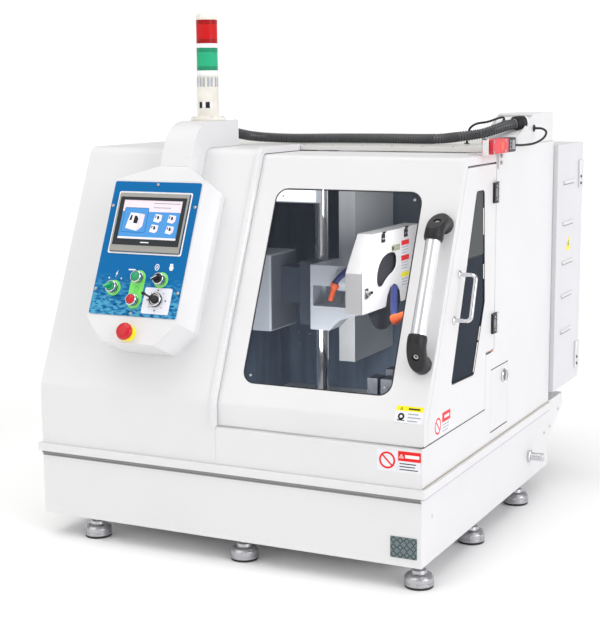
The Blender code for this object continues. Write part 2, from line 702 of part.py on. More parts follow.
def front_door():
    low, back = up(SILL_TOP) + 0.004, from_front(SIDE_DOOR_BACK)
    left, right = from_right(OPENING + 0.030), RIGHT_FACE
    door = plate("front_door", [front_band(DOOR_INSET, DOOR_RETURN, back, low=low)], "YZ", left, right)
    past = 0.010
    hollow = plate("door_hollow", [front_band(DOOR_INSET + SHEET, DOOR_RETURN, back + past, low=low - past)],
                   "YZ", left + SHEET, right - SHEET)
    hole = rectangle(from_right(WINDOW_LEFT), WINDOW_LOW, from_right(WINDOW_RIGHT), WINDOW_TOP, 0.032, 6)
    window_cut = plate("window_cut", [hole], "XY", DOOR_SKIN - 0.010, DOOR_SKIN + 0.010, slant_frame)
    return paint(cut(door, hollow, window_cut), WHITE)


def front_window():
    lap = 0.015
    pane = rectangle(from_right(WINDOW_LEFT + lap), WINDOW_LOW - lap, from_right(WINDOW_RIGHT - lap),
                     WINDOW_TOP + lap, 0.012, 3)
    skin = DOOR_SKIN - SHEET - GAP
    return paint(plate("front_window", [pane], "XY", skin - 0.004, skin, slant_frame), GLAZING)


TUBE_STAND, TUBE_RADIUS, TUBE_HALF = 0.055, 0.0175, 0.112


def door_handle():
    across = from_right(HANDLE_RIGHT)
    level = DOOR_SKIN + TUBE_STAND
    half_width = 0.0235
    tube = rod("handle_tube", (across, HANDLE_MIDDLE - TUBE_HALF, level),
               (across, HANDLE_MIDDLE + TUBE_HALF, level), TUBE_RADIUS, 28, slant_frame)
    paint(tube, ALUMINIUM)
    for name, way in (("handle_cap_top", 1), ("handle_cap_bottom", -1)):
        side_view = [(0.1125, 0.034), (0.1125, 0.0765), (0.140, 0.0775), (0.158, 0.068), (0.182, 0.042),
                     (0.191, 0.022), (0.191, GAP), (0.146, GAP), (0.143, 0.016), (0.132, 0.030)]
        outline = [(HANDLE_MIDDLE + way * along, DOOR_SKIN + rise) for along, rise in side_view]
        cap = plate(name, [outline], "YZ", across - half_width, across + half_width, slant_frame)
        paint(cap, BLACK)


# ---- hinged side door ----

def side_outline(shrink=0.0):
    """The side door's outline, its front edge following the leaning front."""
    low, top = up(0.284) + shrink, up(0.8965) - shrink
    inset = DOOR_INSET + DOOR_RETURN + 0.0012 + shrink
    edge = front_line(inset, from_front(SIDE_DOOR_BACK), low=low)
    front = [point for point in edge if point[1] < up(0.800)]
    crossing = from_front(SLANT_RUN) - (up(ROOF) - top) * math.tan(SLANT) + inset / math.cos(SLANT)
    back, notch = from_front(SIDE_DOOR_BACK) - shrink, from_front(0.430) - shrink
    step = up(0.4285) + shrink
    return front + [(crossing, top), (back, top), (back, step), (notch, step), (notch, low)]


SIDE_PANE = [(0.183, 0.393), (0.345, 0.388), (0.420, 0.560), (0.408, 0.838), (0.350, 0.838)]


def side_door():
    pan = plate("side_door", [side_outline()], "YZ", RIGHT_FACE - 0.018, RIGHT_FACE)
    hollow = plate("side_hollow", [side_outline(0.002)], "YZ", RIGHT_FACE - 0.030, RIGHT_FACE - SHEET)
    corners = [(from_front(front), up(height)) for front, height in SIDE_PANE]
    window = rounded(corners, [0.008, 0.012, 0.030, 0.012, 0.012], 4)
    hole = plate("side_window_cut", [window], "YZ", RIGHT_FACE - 0.010, RIGHT_FACE + 0.010)
    door = cut(pan, hollow, hole)
    return paint(join(door, *hinge_leaves(-1)), WHITE)


def side_window():
    middle = (sum(front for front, _ in SIDE_PANE) / 5, sum(height for _, height in SIDE_PANE) / 5)
    spread = 1.07
    rise = (1 + spread) / 2
    corners = [(from_front(middle[0] + (front - middle[0]) * spread),
                up(middle[1] + (height - middle[1]) * rise)) for front, height in SIDE_PANE]
    face = RIGHT_FACE - SHEET - GAP
    return paint(plate("side_window", [corners], "YZ", face - 0.004, face), GLAZING)


def side_handle():
    top, bottom = (0.232, 0.651), (0.197, 0.547)
    stand = 0.042
    skin = RIGHT_FACE + GAP
    bend = 0.010
    lean = (Vector(bottom) - Vector(top)).normalized()
    start = Vector((skin, from_front(top[0]), up(top[1])))
    end = Vector((skin, from_front(bottom[0]), up(bottom[1])))
    along = Vector((0, lean.x, lean.y))
    out = Vector((stand, 0, 0))
    route = [start]
    for corner, before, after in ((start + out, Vector((-1, 0, 0)), along),
                                  (end + out, -along, Vector((-1, 0, 0)))):
        for step in range(5):
            angle = step / 4 * math.pi / 2
            early, late = bend * (1 - math.sin(angle)), bend * (1 - math.cos(angle))
            route.append(corner + before * early + after * late)
    route.append(end)
    handle = bar("side_handle", route, 0.005, 3)
    feet = [rod("handle_foot", point, point + Vector((0.005, 0, 0)), 0.009, 16) for point in (start, end)]
    return paint(join(handle, *feet), CHROME)


def access_flap():
    play = 0.0015
    leaf = rectangle(from_front(FLAP_FRONT) + play, up(FLAP_LOW) + play, from_front(FLAP_BACK) - play,
                     up(FLAP_TOP) - play)
    keyhole = circle(from_front(0.573), up(0.345), 0.0095)
    flap = plate("access_flap", [leaf, keyhole], "YZ", RIGHT_FACE - SHEET, RIGHT_FACE)
    paint(flap, WHITE)
    lock = rod("flap_latch", (RIGHT_FACE - 0.016, from_front(0.573), up(0.345)),
               (RIGHT_FACE + 0.004, from_front(0.573), up(0.345)), 0.009, 20)
    head = rod("latch_head", (RIGHT_FACE + GAP, from_front(0.573), up(0.345)),
               (RIGHT_FACE + 0.006, from_front(0.573), up(0.345)), 0.0175, 24)
    cam = box("latch_cam", (RIGHT_FACE - 0.016, from_front(0.534), up(0.339)),
              (RIGHT_FACE - 0.0135, from_front(0.573), up(0.351)))
    grip = box("latch_grip", (RIGHT_FACE + 0.005, from_front(0.564), up(0.3425)),
               (RIGHT_FACE + 0.013, from_front(0.582), up(0.3475)))
    paint(join(lock, head, cam, grip), CHROME)


# ---- rear cabinet ----

CABINET_LOW, CABINET_TOP = 0.215, 0.922


def cabinet():
    left, right = LEFT_FACE - CABINET_OVERHANG, RIGHT_FACE + CABINET_OVERHANG
    front = BACK_FACE + 0.003
    back = front + CABINET_DEPTH
    case = box("cabinet_box", (left, front, up(CABINET_LOW)), (right, back, up(CABINET_TOP)))
    inside = box("cabinet_inside", (left + SHEET, front + SHEET, up(CABINET_LOW) + SHEET),
                 (right - SHEET, back + 0.010, up(CABINET_TOP) - SHEET))
    paint(cut(case, inside), WHITE)
    depth = 0.022
    face = back + GAP
    door = box("cabinet_door", (left, face, up(CABINET_LOW)), (right, face + depth, up(CABINET_TOP)))
    recess = box("door_recess", (left + SHEET, face - 0.010, up(CABINET_LOW) + SHEET),
                 (right - SHEET, face + depth - SHEET, up(CABINET_TOP) - SHEET))
    lock_at = (left + 0.045, up((CABINET_LOW + CABINET_TOP) / 2))
    bore = rod("lock_bore", (lock_at[0], face + depth - 0.010, lock_at[1]),
               (lock_at[0], face + depth + 0.010, lock_at[1]), 0.0115, 24)
    paint(cut(door, recess, bore), WHITE)
    latch = rod("cabinet_latch", (lock_at[0], face + 0.006, lock_at[1]),
                (lock_at[0], face + depth + 0.004, lock_at[1]), 0.0110, 24)
    knob = rod("latch_knob", (lock_at[0], face + depth + GAP, lock_at[1]),
               (lock_at[0], face + depth + 0.008, lock_at[1]), 0.016, 24)
    grip = box("latch_wing", (lock_at[0] - 0.004, face + depth + 0.006, lock_at[1] - 0.014),
               (lock_at[0] + 0.004, face + depth + 0.018, lock_at[1] + 0.014))
    cam = box("cabinet_cam", (lock_at[0] - 0.030, face + 0.006, lock_at[1] - 0.008),
              (lock_at[0], face + 0.009, lock_at[1] + 0.008))
    paint(join(latch, knob, grip, cam), BLACK)


# ---- wheel head, guard, table and vise ----

COLUMN_RIGHT, COLUMN_BACK, COLUMN_RADIUS = 0.534, 0.600, 0.0195


def guide_column():
    foot = machine_point(COLUMN_RIGHT, COLUMN_BACK, LIP_TOP + GAP)
    head = machine_point(COLUMN_RIGHT, COLUMN_BACK, ROOF - SHEET - GAP)
    return paint(rod("guide_column", foot, head, COLUMN_RADIUS, 32), CHROME)


def spindle_head():
    outline = [(0.511, 0.445), (0.455, 0.445), (0.425, 0.474), (0.345, 0.500), (0.345, 0.620),
               (0.511, 0.620)]
    window = [(0.503, 0.510), (0.362, 0.510), (0.362, 0.565), (0.503, 0.565)]
    to_world = [[(from_right(right), up(height)) for right, height in line] for line in (outline, window)]
    head = plate("spindle_head", to_world, "XZ", from_front(0.480), from_front(0.545))
    sleeve = box("column_sleeve", machine_point(0.573, 0.540, 0.446), machine_point(0.492, 0.642, 0.619))
    arm = box("motor_arm", machine_point(0.640, 0.560, 0.500), machine_point(0.570, 0.641, 0.600))
    housing = rod("spindle_housing", machine_point(0.430, WHEEL_AXIS_BACK, WHEEL_AXIS_UP),
                  machine_point(GUARD_LEFT + GAP, WHEEL_AXIS_BACK, WHEEL_AXIS_UP), 0.030)
    bore = rod("column_bore", machine_point(COLUMN_RIGHT, COLUMN_BACK, 0.400),
               machine_point(COLUMN_RIGHT, COLUMN_BACK, 0.700), COLUMN_RADIUS + 0.0006, 32)
    journal = rod("spindle_bore", machine_point(0.345, WHEEL_AXIS_BACK, WHEEL_AXIS_UP),
                  machine_point(0.300, WHEEL_AXIS_BACK, WHEEL_AXIS_UP), 0.0140)
    return paint(cut(join(head, sleeve, arm, housing), bore, journal), PALE)


def spindle_motor():
    return paint(box("spindle_motor", machine_point(0.752, 0.500, 0.425),
                     machine_point(0.640 + GAP, 0.660, 0.638)), PALE)


def guard_shape(shrink=0.0):
    """The guard's side view, open below, its corners pulled in by the wall thickness."""
    front, back = 0.303 + shrink, 0.690 - shrink
    top, low = 0.720 - shrink, 0.524 - shrink * 5
    corners = [(front, low), (back, low), (back, top), (0.379 + shrink * 0.6, top),
               (front, 0.628 - shrink * 0.4)]
    return [(from_front(y), up(z)) for y, z in corners]


def wheel_guard():
    wall = 0.003
    guard = plate("wheel_guard", [guard_shape()], "YZ", from_right(GUARD_LEFT),
                  from_right(GUARD_RIGHT + wall + GAP))
    inside = plate("guard_inside", [guard_shape(wall)], "YZ", from_right(GUARD_LEFT - wall),
                   from_right(GUARD_RIGHT - 0.010))
    shaft_hole = rod("shaft_hole", machine_point(0.340, WHEEL_AXIS_BACK, WHEEL_AXIS_UP),
                     machine_point(0.300, WHEEL_AXIS_BACK, WHEEL_AXIS_UP), 0.016)
    return paint(cut(guard, inside, shaft_hole), WHITE)


CRESCENT = [
    (0.5170, 0.6590), (0.4900, 0.6630), (0.4610, 0.6620), (0.4300, 0.6540), (0.4100, 0.6400),
    (0.3985, 0.6230), (0.3940, 0.6020), (0.3990, 0.5870), (0.4110, 0.5810), (0.4330, 0.5820),
    (0.4520, 0.5930), (0.4770, 0.6040), (0.5050, 0.6110), (0.5230, 0.6210), (0.5290, 0.6340),
    (0.5270, 0.6480),
]


def guard_cover():
    corners = guard_shape()
    notch = [(0.560, 0.524), (0.552, 0.552), (0.530, 0.572), (0.508, 0.578), (0.486, 0.572), (0.464, 0.552),
             (0.456, 0.524)]
    low_line = [(from_front(front), up(height)) for front, height in notch]
    outline = [corners[0]] + low_line[::-1] + corners[1:]
    slot = [(from_front(front), up(height)) for front, height in CRESCENT]
    cover = plate("guard_cover", [outline, slot], "YZ", from_right(GUARD_RIGHT + 0.003),
                  from_right(GUARD_RIGHT))
    return paint(cover, WHITE)


def cutting_wheel():
    """Shaft, two clamping flanges, nut and the abrasive disc, turned as one piece."""
    wheel, flange, nut, shaft = 0.125, 0.040, 0.014, 0.012
    half = 0.0013
    start = 0.342
    reach = start - WHEEL_RIGHT
    profile = [(0, reach + 0.0150), (nut, reach + 0.0150), (nut, reach + 0.0070), (flange, reach + 0.0070),
               (flange, reach + half), (wheel, reach + half), (wheel, reach - half),
               (flange, reach - half), (flange, reach - 0.0080), (shaft, reach - 0.0080), (shaft, 0), (0, 0)]
    wheel_piece = turned("cutting_wheel", profile, machine_point(start, WHEEL_AXIS_BACK, WHEEL_AXIS_UP),
                         (1, 0, 0), steps=40)
    return paint(wheel_piece, ABRASIVE)


TABLE_LEFT, TABLE_RIGHT, TABLE_TOP = 0.338, 0.100, 0.277
JAW_LEFT, JAW_RIGHT, JAW_TOP = 0.334, 0.245, 0.332


def work_table():
    top = box("work_table", machine_point(TABLE_LEFT, 0.300, 0.247),
              machine_point(TABLE_RIGHT, 0.700, TABLE_TOP))
    saddle = box("table_saddle", machine_point(TABLE_LEFT - 0.020, 0.330, LIP_TOP + GAP),
                 machine_point(TABLE_RIGHT + 0.020, 0.670, 0.250))
    jaw = box("fixed_jaw", machine_point(JAW_LEFT, 0.580, TABLE_TOP - 0.001),
              machine_point(JAW_RIGHT, 0.620, JAW_TOP))
    slots = [box("table_slot", machine_point(right + 0.006, 0.290, 0.265),
                 machine_point(right - 0.006, 0.710, 0.290)) for right in (0.215, 0.135)]
    wheel_slot = box("wheel_slot", machine_point(WHEEL_RIGHT + 0.004, 0.290, 0.267),
                     machine_point(WHEEL_RIGHT - 0.004, 0.710, 0.400))
    return paint(cut(join(cut(top, *slots), saddle, jaw), wheel_slot), STEEL)


def vise():
    jaw = box("vise_jaw", machine_point(JAW_LEFT, 0.455, TABLE_TOP + GAP),
              machine_point(JAW_RIGHT, 0.510, JAW_TOP))
    wheel_slot = box("jaw_slot", machine_point(WHEEL_RIGHT + 0.004, 0.440, 0.284),
                     machine_point(WHEEL_RIGHT - 0.004, 0.530, 0.400))
    paint(cut(jaw, wheel_slot), STEEL)
    pivot = (0.262, 0.425)
    lever = rod("vise_lever", machine_point(*pivot, TABLE_TOP + GAP), machine_point(*pivot, 0.2935), 0.024)
    arm = bar("lever_arm", [machine_point(*pivot, 0.289), machine_point(0.232, 0.405, 0.297),
                            machine_point(0.152, 0.345, 0.322)], 0.006, 2)
    knob = rod("lever_knob", machine_point(0.159, 0.351, 0.3205), machine_point(0.133, 0.3285, 0.3265),
               0.011, 16)
    paint(join(lever, arm, knob), BLACK)


# ---- build ----

def place_origins():
    """Put each moving piece's origin on its joint's axis."""
    pieces = bpy.data.objects
    hinge_line = (RIGHT_FACE + 0.009, from_front(0.4973))
    side_middle = pieces["side_door"].location.z
    set_origin(pieces["side_door"], (*hinge_line, side_middle))
    set_origin(pieces["access_flap"], (RIGHT_FACE - SHEET / 2, from_front(0.5445), up(FLAP_LOW) + 0.0025))
    set_origin(pieces["flap_latch"], (RIGHT_FACE, from_front(0.573), up(0.345)))
    hinge_back = BACK_FACE + 0.003 + CABINET_DEPTH + GAP
    set_origin(pieces["cabinet_door"], (RIGHT_FACE + CABINET_OVERHANG + 0.004, hinge_back, up(0.5685)))
    set_origin(pieces["guard_cover"], machine_point(GUARD_RIGHT, 0.4965, 0.7215))
    set_origin(pieces["vise_lever"], machine_point(0.325, 0.425, 0.285))
    for name in ("power_selector", "mode_selector"):
        right, along = SWITCH_PLACES[name]
        set_origin(pieces[name], (from_right(right), along, COLLAR_FACE))


base_plinth()
levelling_feet()
left_shell()
roof_panel()
right_side_panel()
front_sill()
back_panel()
chamber_liner()
splash_shield()
cable_duct()
terminal_box()
wiring()
interlock_switch()
interlock_key()
control_box()
control_plate()
touch_panel()
push_buttons()
selectors()
emergency_stop()
joystick()
signal_tower()
front_door()
front_window()
door_handle()
side_door()
side_window()
side_handle()
access_flap()
cabinet()
guide_column()
spindle_head()
spindle_motor()
wheel_guard()
guard_cover()
cutting_wheel()
work_table()
vise()
place_origins()
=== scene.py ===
"""Looks for the abrasive cut-off machine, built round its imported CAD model.

Lengths are in metres. A place on the machine is given by its distance from the right face,
its distance behind the front face and its height above the plinth's lower edge. Each face
has a frame of its own: x across it (to the left is negative on the front), y up, z outward.
"""

import math
import random

import bmesh
import bpy
from mathutils import Euler, Matrix, Vector


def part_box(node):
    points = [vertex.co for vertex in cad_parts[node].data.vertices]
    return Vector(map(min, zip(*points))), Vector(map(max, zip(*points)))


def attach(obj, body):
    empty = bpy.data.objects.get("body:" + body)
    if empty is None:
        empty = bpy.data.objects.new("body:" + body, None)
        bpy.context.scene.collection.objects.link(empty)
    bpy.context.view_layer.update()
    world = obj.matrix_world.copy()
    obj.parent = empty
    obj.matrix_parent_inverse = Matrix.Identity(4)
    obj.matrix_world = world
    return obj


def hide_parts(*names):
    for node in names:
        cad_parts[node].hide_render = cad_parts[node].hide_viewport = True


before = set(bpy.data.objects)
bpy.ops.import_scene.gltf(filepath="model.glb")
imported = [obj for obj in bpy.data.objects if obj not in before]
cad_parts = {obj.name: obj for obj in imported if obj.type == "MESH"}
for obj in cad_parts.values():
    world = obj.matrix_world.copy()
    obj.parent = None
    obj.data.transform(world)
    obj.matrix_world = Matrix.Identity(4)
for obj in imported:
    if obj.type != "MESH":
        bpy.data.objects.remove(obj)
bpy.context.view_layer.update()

# ---- the machine's main planes, read from the frame ----

ROOF_BOX, SILL_BOX, PLINTH_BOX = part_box("roof_panel"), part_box("front_sill"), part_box("base_plinth")
RIGHT, LEFT = ROOF_BOX[1].x, ROOF_BOX[0].x
FRONT, LOW = SILL_BOX[0].y, PLINTH_BOX[0].z
ROOF = ROOF_BOX[1].z - LOW
KNEE, LEAN_RUN = 0.34, 0.263
LEAN = math.atan2(LEAN_RUN, ROOF - KNEE)
WIDTH = RIGHT - LEFT
GAP = 0.0003                       # clearance between parts, and how far a label stands proud
THIN, INK_DEPTH = 0.0001, 0.00012   # one printed layer on another

BOX_FACE = 0.11                   # control box, out from the leaning front
PLATE_FACE = BOX_FACE + GAP + 0.002
COLLAR_FACE = PLATE_FACE + 0.018
DOOR_SKIN = -0.014
BUTTONS = {"start_button": (-0.7465, 0.2685), "stop_button": (-0.747, 0.2105)}
SELECTORS = {"power_selector": (-0.813, 0.24), "mode_selector": (-0.682, 0.2665)}
ESTOP = (-0.745, 0.129)
JOYSTICK = (-0.683, 0.215)
JOYSTICK_PIVOT = PLATE_FACE + 0.0092
DUCT_RIGHT, DUCT_RISE = 0.738, 0.068
PLINTH_TOP = 0.187
FLAP = (0.4765, 0.6125, 0.2122, 0.3758)   # front, rear, low and high edges of the access flap


def facing(origin, across, upward):
    """A frame whose x runs across a face, y up it and z out of it."""
    across, upward = Vector(across), Vector(upward)
    turn = Matrix((across, upward, across.cross(upward))).transposed().to_4x4()
    return Matrix.Translation(origin) @ turn


FRONT_SIDE = facing((RIGHT, FRONT, LOW), (1, 0, 0), (0, 0, 1))
LEANING = facing((RIGHT, FRONT, LOW + KNEE), (1, 0, 0), (0, math.sin(LEAN), math.cos(LEAN)))
RIGHT_SIDE = facing((RIGHT, FRONT, LOW), (0, 1, 0), (0, 0, 1))
LEFT_SIDE = facing((LEFT, FRONT, LOW), (0, -1, 0), (0, 0, 1))
ROOF_SIDE = facing((RIGHT, FRONT, LOW + ROOF), (1, 0, 0), (0, 1, 0))


def machine_point(right, front, height):
    return Vector((RIGHT - right, FRONT + front, LOW + height))


def machine_route(*places):
    return [machine_point(*place) for place in places]


def at(across, along, out=0.0):
    """A move to a place on a face."""
    return Matrix.Translation((across, along, out))


def spin(across, along, degrees):
    """A turn about a face's outward direction, then a move to a place on it."""
    return at(across, along) @ Matrix.Rotation(math.radians(degrees), 4, "Z")


# ---- materials ----

class Look:
    """A Principled material with procedural patterns that are fixed to the object."""

    def __init__(self, name, colour, roughness, metallic=0.0, **sockets):
        self.made = bpy.data.materials.new(name)
        self.made.use_nodes = True
        self.tree = self.made.node_tree
        self.shader = self.tree.nodes["Principled BSDF"]
        self.colour_value = colour
        self.shader.inputs["Base Color"].default_value = (*colour, 1)
        self.shader.inputs["Roughness"].default_value = roughness
        self.shader.inputs["Metallic"].default_value = metallic
        for socket, value in sockets.items():
            self.shader.inputs[socket.replace("_", " ")].default_value = value
        self.place = self.tree.nodes.new("ShaderNodeTexCoord").outputs["Object"]

    def node(self, kind, inputs, **settings):
        made = self.tree.nodes.new(kind)
        for name, value in settings.items():
            setattr(made, name, value)
        for name, value in inputs.items():
            if isinstance(value, bpy.types.NodeSocket):
                self.tree.links.new(value, made.inputs[name])
            else:
                made.inputs[name].default_value = value
        return made

    def stretched(self, stretch):
        return self.node("ShaderNodeMapping", {"Vector": self.place, "Scale": stretch}).outputs[0]

    def noise(self, scale, stretch=(1, 1, 1), detail=3.0):
        spot = self.stretched(stretch)
        return self.node("ShaderNodeTexNoise", {"Vector": spot, "Scale": scale,
                "Detail": detail}).outputs[0]

    def cells(self, scale, stretch=(1, 1, 1)):
        spot = self.stretched(stretch)
        return self.node("ShaderNodeTexVoronoi", {"Vector": spot, "Scale": scale}).outputs[0]

    def height(self, low, high, axis="Z"):
        """0 at one place along the object's own axis and 1 at another."""
        level = self.node("ShaderNodeSeparateXYZ", {"Vector": self.place}).outputs[axis]
        inputs = {"Value": level, "From Min": low, "From Max": high}
        return self.node("ShaderNodeMapRange", inputs).outputs[0]

    def both(self, first, second, operation="MULTIPLY"):
        return self.node("ShaderNodeMath", {0: first, 1: second}, operation=operation).outputs[0]

    def colour(self, value, *stops):
        ramp = self.node("ShaderNodeValToRGB", {"Fac": value})
        steps = ramp.color_ramp.elements
        while len(steps) < len(stops):
            steps.new(0.5)
        for step, (position, colour) in zip(steps, stops):
            step.position = position
            step.color = (*colour, 1)
        self.tree.links.new(ramp.outputs["Color"], self.shader.inputs["Base Color"])
        return self

    def shades(self, value, spread, low=0.35, high=0.65):
        """Vary the colour itself by a share either way."""
        darker = [channel * (1 - spread) for channel in self.colour_value]
        lighter = [min(1.0, channel * (1 + spread)) for channel in self.colour_value]
        return self.colour(value, (low, darker), (high, lighter))

    def gloss(self, value, low, high):
        scaled = self.node("ShaderNodeMapRange", {"Value": value, "To Min": low, "To Max": high})
        self.tree.links.new(scaled.outputs[0], self.shader.inputs["Roughness"])
        return self

    def bump(self, value, depth, strength=1.0):
        inputs = {"Height": value, "Distance": depth, "Strength": strength}
        if self.shader.inputs["Normal"].is_linked:
            inputs["Normal"] = self.shader.inputs["Normal"].links[0].from_socket
        bumped = self.node("ShaderNodeBump", inputs)
        self.tree.links.new(bumped.outputs[0], self.shader.inputs["Normal"])
        return self


def powder_coat(name, colour, roughness=0.42):
    look = Look(name, colour, roughness)
    grain = look.noise(700.0, detail=2.0)
    look.shades(look.noise(4.0), 0.012)
    look.gloss(grain, roughness - 0.08, roughness + 0.08)
    return look.bump(grain, 0.00005, 0.6)


def brushed(name, colour, roughness, stretch, spread=0.05):
    """Bare metal with fine parallel scratches; stretch is small along them."""
    look = Look(name, colour, roughness, 1.0)
    lines = look.noise(60.0, stretch, 5.0)
    look.shades(lines, spread)
    look.gloss(lines, roughness - 0.08, roughness + 0.1)
    return look.bump(lines, 0.00003, 0.5)


def polished(name, colour, roughness):
    look = Look(name, colour, roughness, 1.0)
    smears = look.noise(45.0, detail=5.0)
    look.shades(smears, 0.03)
    return look.gloss(smears, roughness * 0.6, roughness * 1.6)


def moulded(name, colour, roughness, grain_depth=0.00004, coat=0.0):
    look = Look(name, colour, roughness, Coat_Weight=coat, Coat_Roughness=0.08, Specular_IOR_Level=0.28)
    grain = look.noise(1100.0, detail=2.0)
    look.shades(look.noise(25.0), 0.06)
    look.gloss(grain, roughness - 0.06, roughness + 0.08)
    return look.bump(grain, grain_depth, 0.5)


def ink(name, colour, roughness=0.35, glow=0.0):
    """Printed colour, with the slight mottle of a screen print; the painted shadow and shade strips use it
    too.
    """
    look = Look(name, colour, roughness, Emission_Color=(*colour, 1), Emission_Strength=glow,
                Specular_IOR_Level=0.15)
    look.shades(look.noise(300.0), 0.04)
    return look.gloss(look.noise(90.0), roughness - 0.08, roughness + 0.08)


def printed_blue():
    """The control plate's blue, breaking into darker and lighter ripples towards its foot."""
    deep, plain, pale = (0.0, 0.05, 0.14), (0.0, 0.135, 0.37), (0.08, 0.36, 0.55)
    look = Look("blue_plate", plain, 0.4, Specular_IOR_Level=0.12)
    ripples = look.noise(70.0, (1.0, 0.5, 2.6), 6.0)
    foot = look.height(LOW + 0.64, LOW + 0.545)
    rise = look.both(look.both(ripples, 0.44, "SUBTRACT"), foot)
    look.colour(look.both(rise, 0.5, "ADD"), (0.4, deep), (0.5, plain), (0.6, pale))
    return look.gloss(look.noise(200.0), 0.25, 0.38)


def splashed_liner():
    """Dark blue-grey paint with dried coolant runs, turning paler and bluer towards the floor."""
    look = Look("dark_liner", (0.03, 0.04, 0.06), 0.42)
    runs = look.noise(14.0, (3.0, 3.0, 0.5), 6.0)
    low_down = look.height(LOW + 0.7, LOW + 0.2)
    paling = look.both(look.both(runs, 0.5), look.both(low_down, 0.55), "ADD")
    look.colour(paling, (0.15, (0.014, 0.019, 0.028)), (0.32, (0.03, 0.042, 0.062)),
            (0.6, (0.085, 0.12, 0.175)), (0.88, (0.17, 0.23, 0.32)))
    look.gloss(look.noise(35.0), 0.28, 0.55)
    return look.bump(look.noise(500.0), 0.0001, 0.4)


def head_enamel():
    """Pale grey enamel on the head's faces, with painted shade darkening the arm between them."""
    pale, dark = (0.5, 0.535, 0.59), (0.045, 0.06, 0.085)
    look = Look("head_enamel", pale, 0.36)
    across = look.height(-0.3, 0.2, "X")
    # The dark band across the arm is painted shade.
    look.colour(across, (0.334, pale), (0.3355, dark), (0.588, dark), (0.596, pale))
    look.gloss(look.noise(40.0), 0.3, 0.46)
    return look.bump(look.noise(700.0), 0.00004, 0.4)


def glazing():
    look = Look("clear_glazing", (0.02, 0.03, 0.05), 0.04, Alpha=0.16, IOR=1.49)
    look.gloss(look.noise(12.0, detail=5.0), 0.02, 0.09)
    return look


def side_glazing():
    """Darker smoked glass, painted greyer over its upper half as a reflection of the shaded roof."""
    look = Look("smoked_glazing", (0.02, 0.025, 0.04), 0.05, Alpha=0.82, IOR=1.08)
    # The greyer upper half is a painted reflection of the shaded roof.
    level = look.height(LOW + 0.635, LOW + 0.725)
    look.colour(level, (0.47, (0.014, 0.022, 0.038)), (0.53, (0.1, 0.108, 0.108)))
    return look.gloss(look.noise(12.0, detail=5.0), 0.03, 0.1)


def lens(name, colour, low, high):
    """A ribbed signal lens: deep colour at its rims and paler where the lamp is."""
    pale = [min(1.0, channel * 1.1 + 0.006) for channel in colour]
    deep = [channel * 0.62 for channel in colour]
    look = Look(name, colour, 0.12, Specular_IOR_Level=0.25)
    level = look.height(low, high)
    rim = 0.2
    look.colour(level, (0.0, deep), (rim - 0.02, deep), (rim, pale), (1 - rim, pale), (1 - rim + 0.02,
            deep))
    return look.gloss(look.noise(80.0), 0.12, 0.22)


def abrasive_grit():
    look = Look("abrasive", (0.03, 0.03, 0.035), 0.9)
    grit = look.cells(1500.0)
    look.colour(look.noise(900.0), (0.3, (0.01, 0.01, 0.013)), (0.7, (0.045, 0.045, 0.052)))
    return look.bump(grit, 0.0003)


WHITE = powder_coat("white_powder_coat", (0.735, 0.73, 0.735))
CREAM = moulded("cream_plastic", (0.8, 0.77, 0.7), 0.35, coat=0.2)
# The cabinet's white is darker and cooler than the body's: painted shade.
CABINET_SHADED_WHITE = powder_coat("cabinet_painted_shade_white", (0.66, 0.656, 0.678), 0.34)
# The roof's white is darker and warmer than the body's: painted shade.
ROOF_SHADED_WHITE = powder_coat("roof_painted_shade_white", (0.69, 0.68, 0.66), 0.34)
PALE_GREY = powder_coat("pale_grey_enamel", (0.52, 0.55, 0.6), 0.34)
HEAD_GREY = head_enamel()
STAINLESS = brushed("brushed_stainless", (0.5, 0.5, 0.52), 0.28, (1.0, 1.0, 0.03))
SATIN_STEEL = Look("satin_steel_sheet", (0.62, 0.64, 0.65), 0.45, 0.35)
SATIN_STEEL.gloss(SATIN_STEEL.noise(60.0, (1.0, 1.0, 0.03)), 0.36, 0.52)
IRON = brushed("wet_cast_iron", (0.11, 0.12, 0.135), 0.42, (1, 1, 1), 0.15)
ZINC = brushed("zinc_plate", (0.46, 0.46, 0.45), 0.3, (1, 1, 1), 0.1)
CHROME = polished("chrome", (0.66, 0.66, 0.68), 0.07)
ALUMINIUM = brushed("brushed_aluminium", (0.9, 0.9, 0.92), 0.3, (1, 0.03, 0.03), 0.03)
SILVER = brushed("silver_bezel", (0.33, 0.325, 0.3), 0.36, (0.03, 1, 1), 0.08)
BLACK = moulded("black_plastic", (0.018, 0.018, 0.02), 0.4)
SATIN_BLACK = moulded("satin_black_bezel", (0.016, 0.021, 0.025), 0.3, 0.00001)
HOSE = moulded("corrugated_hose", (0.06, 0.062, 0.066), 0.24, 0.00001, 0.5)
RUBBER = moulded("rubber", (0.03, 0.03, 0.032), 0.65, 0.00008)
RED = moulded("red_plastic", (0.56, 0.006, 0.014), 0.25, 0.00001, 0.4)
CORAL = moulded("coral_plastic", (0.72, 0.05, 0.07), 0.38, 0.00004)
ORANGE = moulded("orange_plastic", (0.85, 0.13, 0.03), 0.38)
GREEN = moulded("green_plastic", (0.01, 0.33, 0.14), 0.25, 0.00001, 0.4)
NAVY = moulded("navy_hose", (0.03, 0.04, 0.16), 0.45)
YELLOW = moulded("yellow_plastic", (0.9, 0.74, 0.0), 0.35, 0.00002, 0.2)
LIME = ink("lime_legend", (0.22, 0.8, 0.16), 0.45)
MINT = ink("mint_line", (0.13, 0.55, 0.14), 0.45)
INK_WHITE = ink("white_ink", (0.88, 0.88, 0.9))
INK_BLACK = ink("black_ink", (0.02, 0.02, 0.025))
INK_GREY = ink("grey_ink", (0.35, 0.37, 0.4))
INK_RED = ink("red_ink", (0.78, 0.02, 0.02))
INK_YELLOW = ink("yellow_ink", (0.9, 0.8, 0.02))
